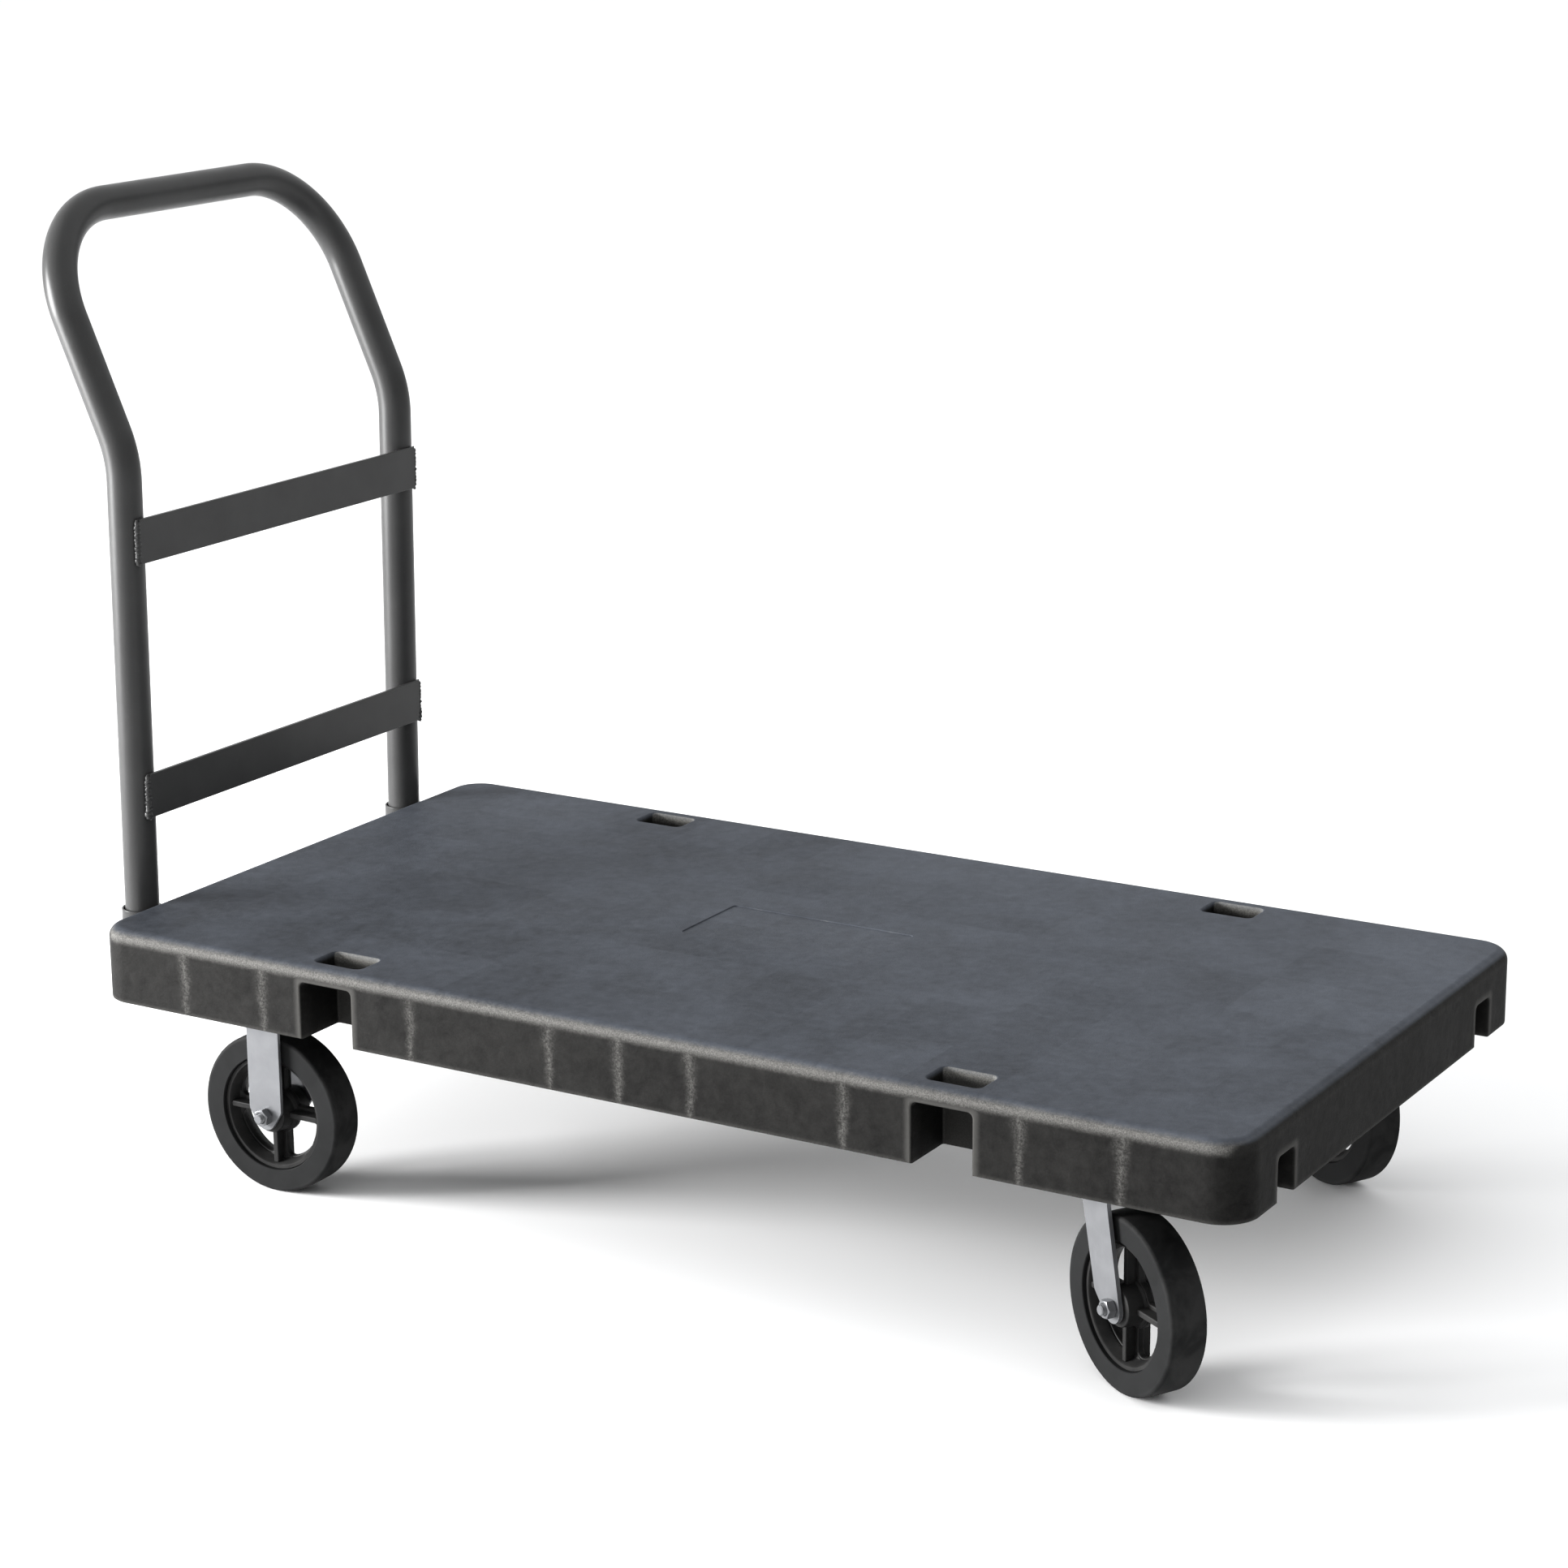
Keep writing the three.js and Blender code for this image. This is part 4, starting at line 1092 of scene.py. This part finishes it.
class DeckLook(Look):
    """Slate-grey moulding: mottled top lighter than the near-black leathery skirt, partly as painted
    sheen, pale streaks at the ribs, a painted highlight on the top edge and painted shade in the
    recesses.
    """

    def __init__(self):
        super().__init__("moulded_deck", 0.62, specular=0.05)
        self.spot = self.place((DECK_MIDDLE.x, DECK_MIDDLE.y, 0.0))
        self.x, self.y, self.z = self.parts(self.spot)
        self.across, self.along = abs(self.x), abs(self.y)
        self.facing = self.parts(self.node("ShaderNodeNewGeometry", {}, output="Normal"))
        self.on_side = self.between(abs(self.facing[1]), 0.6, 0.9)
        self.on_end = self.between(abs(self.facing[0]), 0.6, 0.9)
        self.cloudy = self.noise(self.spot, 11.0, 5.0, 0.62, 0.8)
        self.mottle = self.noise(self.spot, 70.0, 5.0, 0.65, 0.3)
        self.grain = self.noise(self.spot, 420.0, 4.0, 0.7)
        self.dots = self.between(self.noise(self.spot, 620.0, 4.0, 0.8), 0.38, 0.66, 0.4, 1.0)

    def top(self):
        """Slate, in faint patches about as large as the spaces between the ribs; lighter and bluer
        than the skirt, partly the plastic's own tone and partly painted sheen, with painted shade
        towards the near side and the handle end.
        """
        start, patch_size = (0.762, 0.394), (0.1016, 0.1313)
        patch_x = self.maths("SNAP", self.x + start[0], patch_size[0])
        patch_y = self.maths("SNAP", self.y + start[1], patch_size[1])
        corner = self.node("ShaderNodeCombineXYZ", {0: patch_x, 1: patch_y})
        patch = self.node("ShaderNodeTexWhiteNoise", {"Vector": corner})
        broad = self.noise(self.spot, 2.6, 4.0, 0.6, 0.4)
        tone = broad * 0.9 + self.cloudy + patch * 0.2 + self.mottle * 0.9
        # Painted shade: darker towards the near (-Y) side and the handle (-X) end.
        tone = tone + self.x * 0.2 + self.y * 0.45 - 0.35
        return self.tinted((0.0425, 0.047, 0.056, 1), tone)

    def skirt(self):
        # The end faces are made darker: painted shade.
        tone = self.cloudy * 1.2 + self.mottle * 2.0 + self.grain * 0.9 - self.on_end * 0.35
        return self.tinted((0.0088, 0.0086, 0.0082, 1), tone - 0.8)

    def streaks(self):
        """Pale speckled streaks down the long sides at some of the ribs, wider at the top."""
        wobble = self.noise(self.spot, 24.0, 5.0, 0.8) * 0.02 - 0.01
        reach = self.between(self.z, DECK_LOW.z, DECK_HIGH.z, 9 * MM, 17 * MM)
        streak = 0.0
        for rib in STREAKED_RIBS:
            distance = abs(self.across + wobble - rib)
            one = self.maths("SUBTRACT", 1.0, self.maths("DIVIDE", distance, reach), clamp=True)
            streak = self.most(streak, one)
        breaks = self.between(self.noise(self.spot, 380.0, 5.0, 0.8), 0.38, 0.66)
        return streak * streak * (breaks * 0.85 + 0.15) * self.on_side

    def halos(self):
        """A lighter ring round the notches, on the faces that they open through."""
        halo = 0.0
        for measure, notch, face in (
            (self.across, SIDE_NOTCH, self.on_side),
            (self.along, END_NOTCH, self.on_end),
        ):
            beside = self.most(abs(measure - notch["at"]) - notch["width"] / 2, 0.0)
            above = self.most(self.z - notch["top"], 0.0)
            ring = self.between(self.length(beside, above), 2 * MM, 12 * MM, 1.0, 0.0)
            halo = self.most(halo, ring * face)
        return halo

    def painted_recess_shade(self):
        """Painted shade on what lies deep in from the rounded outline, and below the top."""
        inset_x = self.across - (DECK_LENGTH / 2 - CORNER_RADIUS)
        inset_y = self.along - (DECK_WIDTH / 2 - CORNER_RADIUS)
        round_part = self.length(self.most(inset_x, 0.0), self.most(inset_y, 0.0))
        flat_part = self.maths("MINIMUM", self.most(inset_x, inset_y), 0.0)
        out_to = round_part + flat_part
        deep = self.between(out_to, CORNER_RADIUS - 26 * MM, CORNER_RADIUS - 3 * MM, 0.75, 0.0)
        return deep * self.between(self.z, DECK_HIGH.z - 9 * MM, DECK_HIGH.z - 3 * MM, 1.0, 0.0)

    def rims(self):
        """A painted highlight along the lower half of the rolled top edge, speckled in dots, and a
        paler band along the skirt's hem.
        """
        jagged = self.noise(self.spot, 160.0, 5.0, 0.8) * (6 * MM) - 3 * MM
        height = self.z + jagged
        rising = self.between(height, DECK_HIGH.z - 19 * MM, DECK_HIGH.z - 8 * MM)
        falling = self.between(height, DECK_HIGH.z - 8 * MM, DECK_HIGH.z - 0.5 * MM, 1.0, 0.0)
        # The painted highlight fades on the end faces and stays on the long sides, where the light
        # falls.
        long_side = self.between(abs(self.facing[0]), 0.45, 0.7, 1.0, 0.08)
        hem = self.between(height, DECK_LOW.z + MM, DECK_LOW.z + 6 * MM, 0.3, 0.0)
        return self.most(rising * falling * self.dots * long_side * 0.72, hem * 0.3)

    def slot_walls(self):
        """The far walls of the strap slots, those facing -Y, made paler in dots towards the top."""
        beside_x = abs(self.across - SLOT["x"]) - SLOT["length"] / 2
        beside_y = abs(self.along - SLOT["y"]) - SLOT["width"] / 2
        by_slot = self.between(self.most(beside_x, beside_y), 2.5 * MM, 4 * MM, 1.0, 0.0)
        wall = self.between(self.z, DECK_HIGH.z - 14 * MM, DECK_HIGH.z - 1.5 * MM, 0.1, 1.0)
        return by_slot * wall * self.between(self.facing[1], -0.3, -0.6) * self.dots

    def finished(self):
        # The top is coloured lighter and bluer than the skirt, partly as painted sheen from the
        # overhead light.
        on_top = self.between(self.z, DECK_HIGH.z - 7 * MM, DECK_HIGH.z - 2 * MM)
        pale_marks_and_highlights = self.most(self.most(self.streaks() * 0.42, self.halos() * 0.2), self.rims())
        colour = self.mix(on_top, self.skirt(), self.top())
        # Pale colour for the rib streaks and notch rings, the painted highlight on the top edge and
        # the paler hem.
        colour = self.mix(pale_marks_and_highlights, colour, (0.2, 0.195, 0.185, 1))
        # Painted shade deep in the recesses below the top.
        colour = self.mix(self.painted_recess_shade(), colour, grey(0.002))
        colour = self.mix(self.slot_walls() * 0.7, colour, (0.22, 0.215, 0.2, 1))
        leather = self.bump(self.mottle * 0.6 + self.grain * 0.4, 1.1 * MM, 0.8)
        speck = self.noise(self.spot, 1500.0, 2.0, 0.6)
        return self.worn_by(
            colour, self.cloudy * 0.24 + 0.46, self.bump(speck, 0.12 * MM, 0.5, leather)
        )


def deck_look():
    return DeckLook().finished(), "deck_plastic"


def paint_look():
    look = Look("grey_enamel", 0.34, specular=0.2)
    place = look.place()
    cloudy = look.noise(place, 9.0, 3.0)
    peel = look.noise(place, 260.0, 2.0, 0.5)
    dust = look.noise(place, 900.0, 2.0, 0.6)
    colour = look.mix(look.between(cloudy, 0.3, 0.7), grey(0.03), grey(0.038))
    colour = look.mix(look.between(dust, 0.64, 0.74, 0.0, 0.3), colour, grey(0.09, 0.02))
    roughness = look.noise(place, 34.0, 4.0) * 0.16 + 0.27
    return look.worn_by(colour, roughness, look.bump(peel, 0.12 * MM, 0.35)), "grey_paint"


def zinc_look():
    look = Look("zinc_plate", 0.4, metallic=0.6)
    place = look.place()
    bloom = look.between(look.noise(place, 24.0, 4.0, 0.55, 0.4), 0.3, 0.7)
    colour = look.mix(bloom, (0.128, 0.131, 0.138, 1), (0.15, 0.153, 0.16, 1))
    stretch = (6.0, 6.0, 1.0)
    drawn_out = look.node("ShaderNodeVectorMath", {0: place, 1: stretch}, operation="MULTIPLY")
    roughness = look.noise(drawn_out, 60.0, 4.0, 0.6) * 0.16 + 0.34
    grain = look.noise(place, 700.0, 3.0)
    return look.worn_by(colour, roughness, look.bump(grain, 0.05 * MM, 0.4)), "zinc_steel"


def core_look():
    look = Look("black_core", 0.5, specular=0.12)
    place = look.place()
    cloudy = look.noise(place, 30.0, 4.0, 0.6)
    cast = look.noise(place, 380.0, 3.0, 0.6)
    colour = look.mix(look.between(cloudy, 0.3, 0.7), grey(0.009), grey(0.016, 0.02))
    roughness = cloudy * 0.25 + 0.38
    return look.worn_by(colour, roughness, look.bump(cast, 0.15 * MM, 0.4)), "black_core"


def rubber_look():
    """Black rubber, a little dusty round the tread."""
    look = Look("black_rubber", 0.72, specular=0.06)
    place = look.place()
    cloudy = look.noise(place, 22.0, 5.0, 0.6, 0.5)
    fine = look.noise(place, 650.0, 3.0, 0.6)
    x, _, z = look.parts(place)
    tread = look.between(look.length(x, z), 93 * MM, 99 * MM, 0.0, 0.6)
    dusty = tread * look.between(cloudy, 0.35, 0.65)
    colour = look.mix(look.between(cloudy, 0.3, 0.7), grey(0.009, -0.02), grey(0.013, -0.02))
    colour = look.mix(dusty, colour, grey(0.028, 0.01))
    roughness = cloudy * 0.18 + 0.6
    return look.worn_by(colour, roughness, look.bump(fine, 0.1 * MM, 0.35)), "tread_rubber"


# Stage ------------------------------------------------------------------------------------------


def make_camera():
    """The camera stands to the front right of the cart, a little above the handle."""
    data = bpy.data.cameras.new("camera")
    data.sensor_width = 36
    data.lens = 87.6
    data.clip_end = 500
    camera = bpy.data.objects.new("camera", data)
    yaw, pitch, roll = math.radians(31.066), math.radians(-15.33), math.radians(-0.475)
    camera.matrix_world = (
        Matrix.Translation((2.3262, -3.7547, 1.7058))
        @ Matrix.Rotation(yaw, 4, "Z")
        @ Matrix.Rotation(math.pi / 2 + pitch, 4, "X")
        @ Matrix.Rotation(roll, 4, "Z")
    )
    bpy.context.scene.collection.objects.link(camera)
    bpy.context.scene.camera = camera


def make_floor():
    floor = made("floor", slab, rectangle(300, 300, 20), -0.05, 0)
    look = Look("pale_floor", 0.9, specular=0.0)
    look.shader.inputs["Base Color"].default_value = (0.92, 0.92, 0.92, 1)
    floor.data.materials.append(look.material)


def light(name, kind, energy, at, towards, **settings):
    data = bpy.data.lights.new(name, kind)
    data.energy = energy
    for key, value in settings.items():
        setattr(data, key, value)
    lamp = bpy.data.objects.new(name, data)
    lamp.location = at
    direction = Vector(towards) - Vector(at)
    lamp.rotation_euler = direction.to_track_quat("-Z", "Y").to_euler()
    bpy.context.scene.collection.objects.link(lamp)


def make_lights():
    """A broad overhead light, a tall soft one behind the handle, and a dim even surround."""
    world = bpy.data.worlds.new("studio")
    bpy.context.scene.world = world
    world.use_nodes = True
    background = world.node_tree.nodes["Background"]
    background.inputs["Color"].default_value = (0.96, 0.98, 1.0, 1)
    background.inputs["Strength"].default_value = 0.34
    light("overhead", "SUN", 2.5, (-0.9, 0.5, 4), (0, 0, 0), angle=math.radians(150))
    light("behind_handle", "AREA", 1500, (-5.4, -3.6, 1.4), (-0.7, 0, 0.8), size=2.6)
    bpy.context.scene.view_settings.view_transform = "Standard"


plastic, paint, zinc = deck_look(), paint_look(), zinc_look()
make_camera()
make_deck(plastic)
make_handle(paint)
make_sockets(paint, zinc)
make_bolts(zinc)
make_wheels({"tread": rubber_look(), "wheel_core": core_look(), "wheel_bearing": zinc})
make_axles(zinc)
make_rigid_forks(zinc)
make_swivels(zinc)
make_floor()
make_lights()
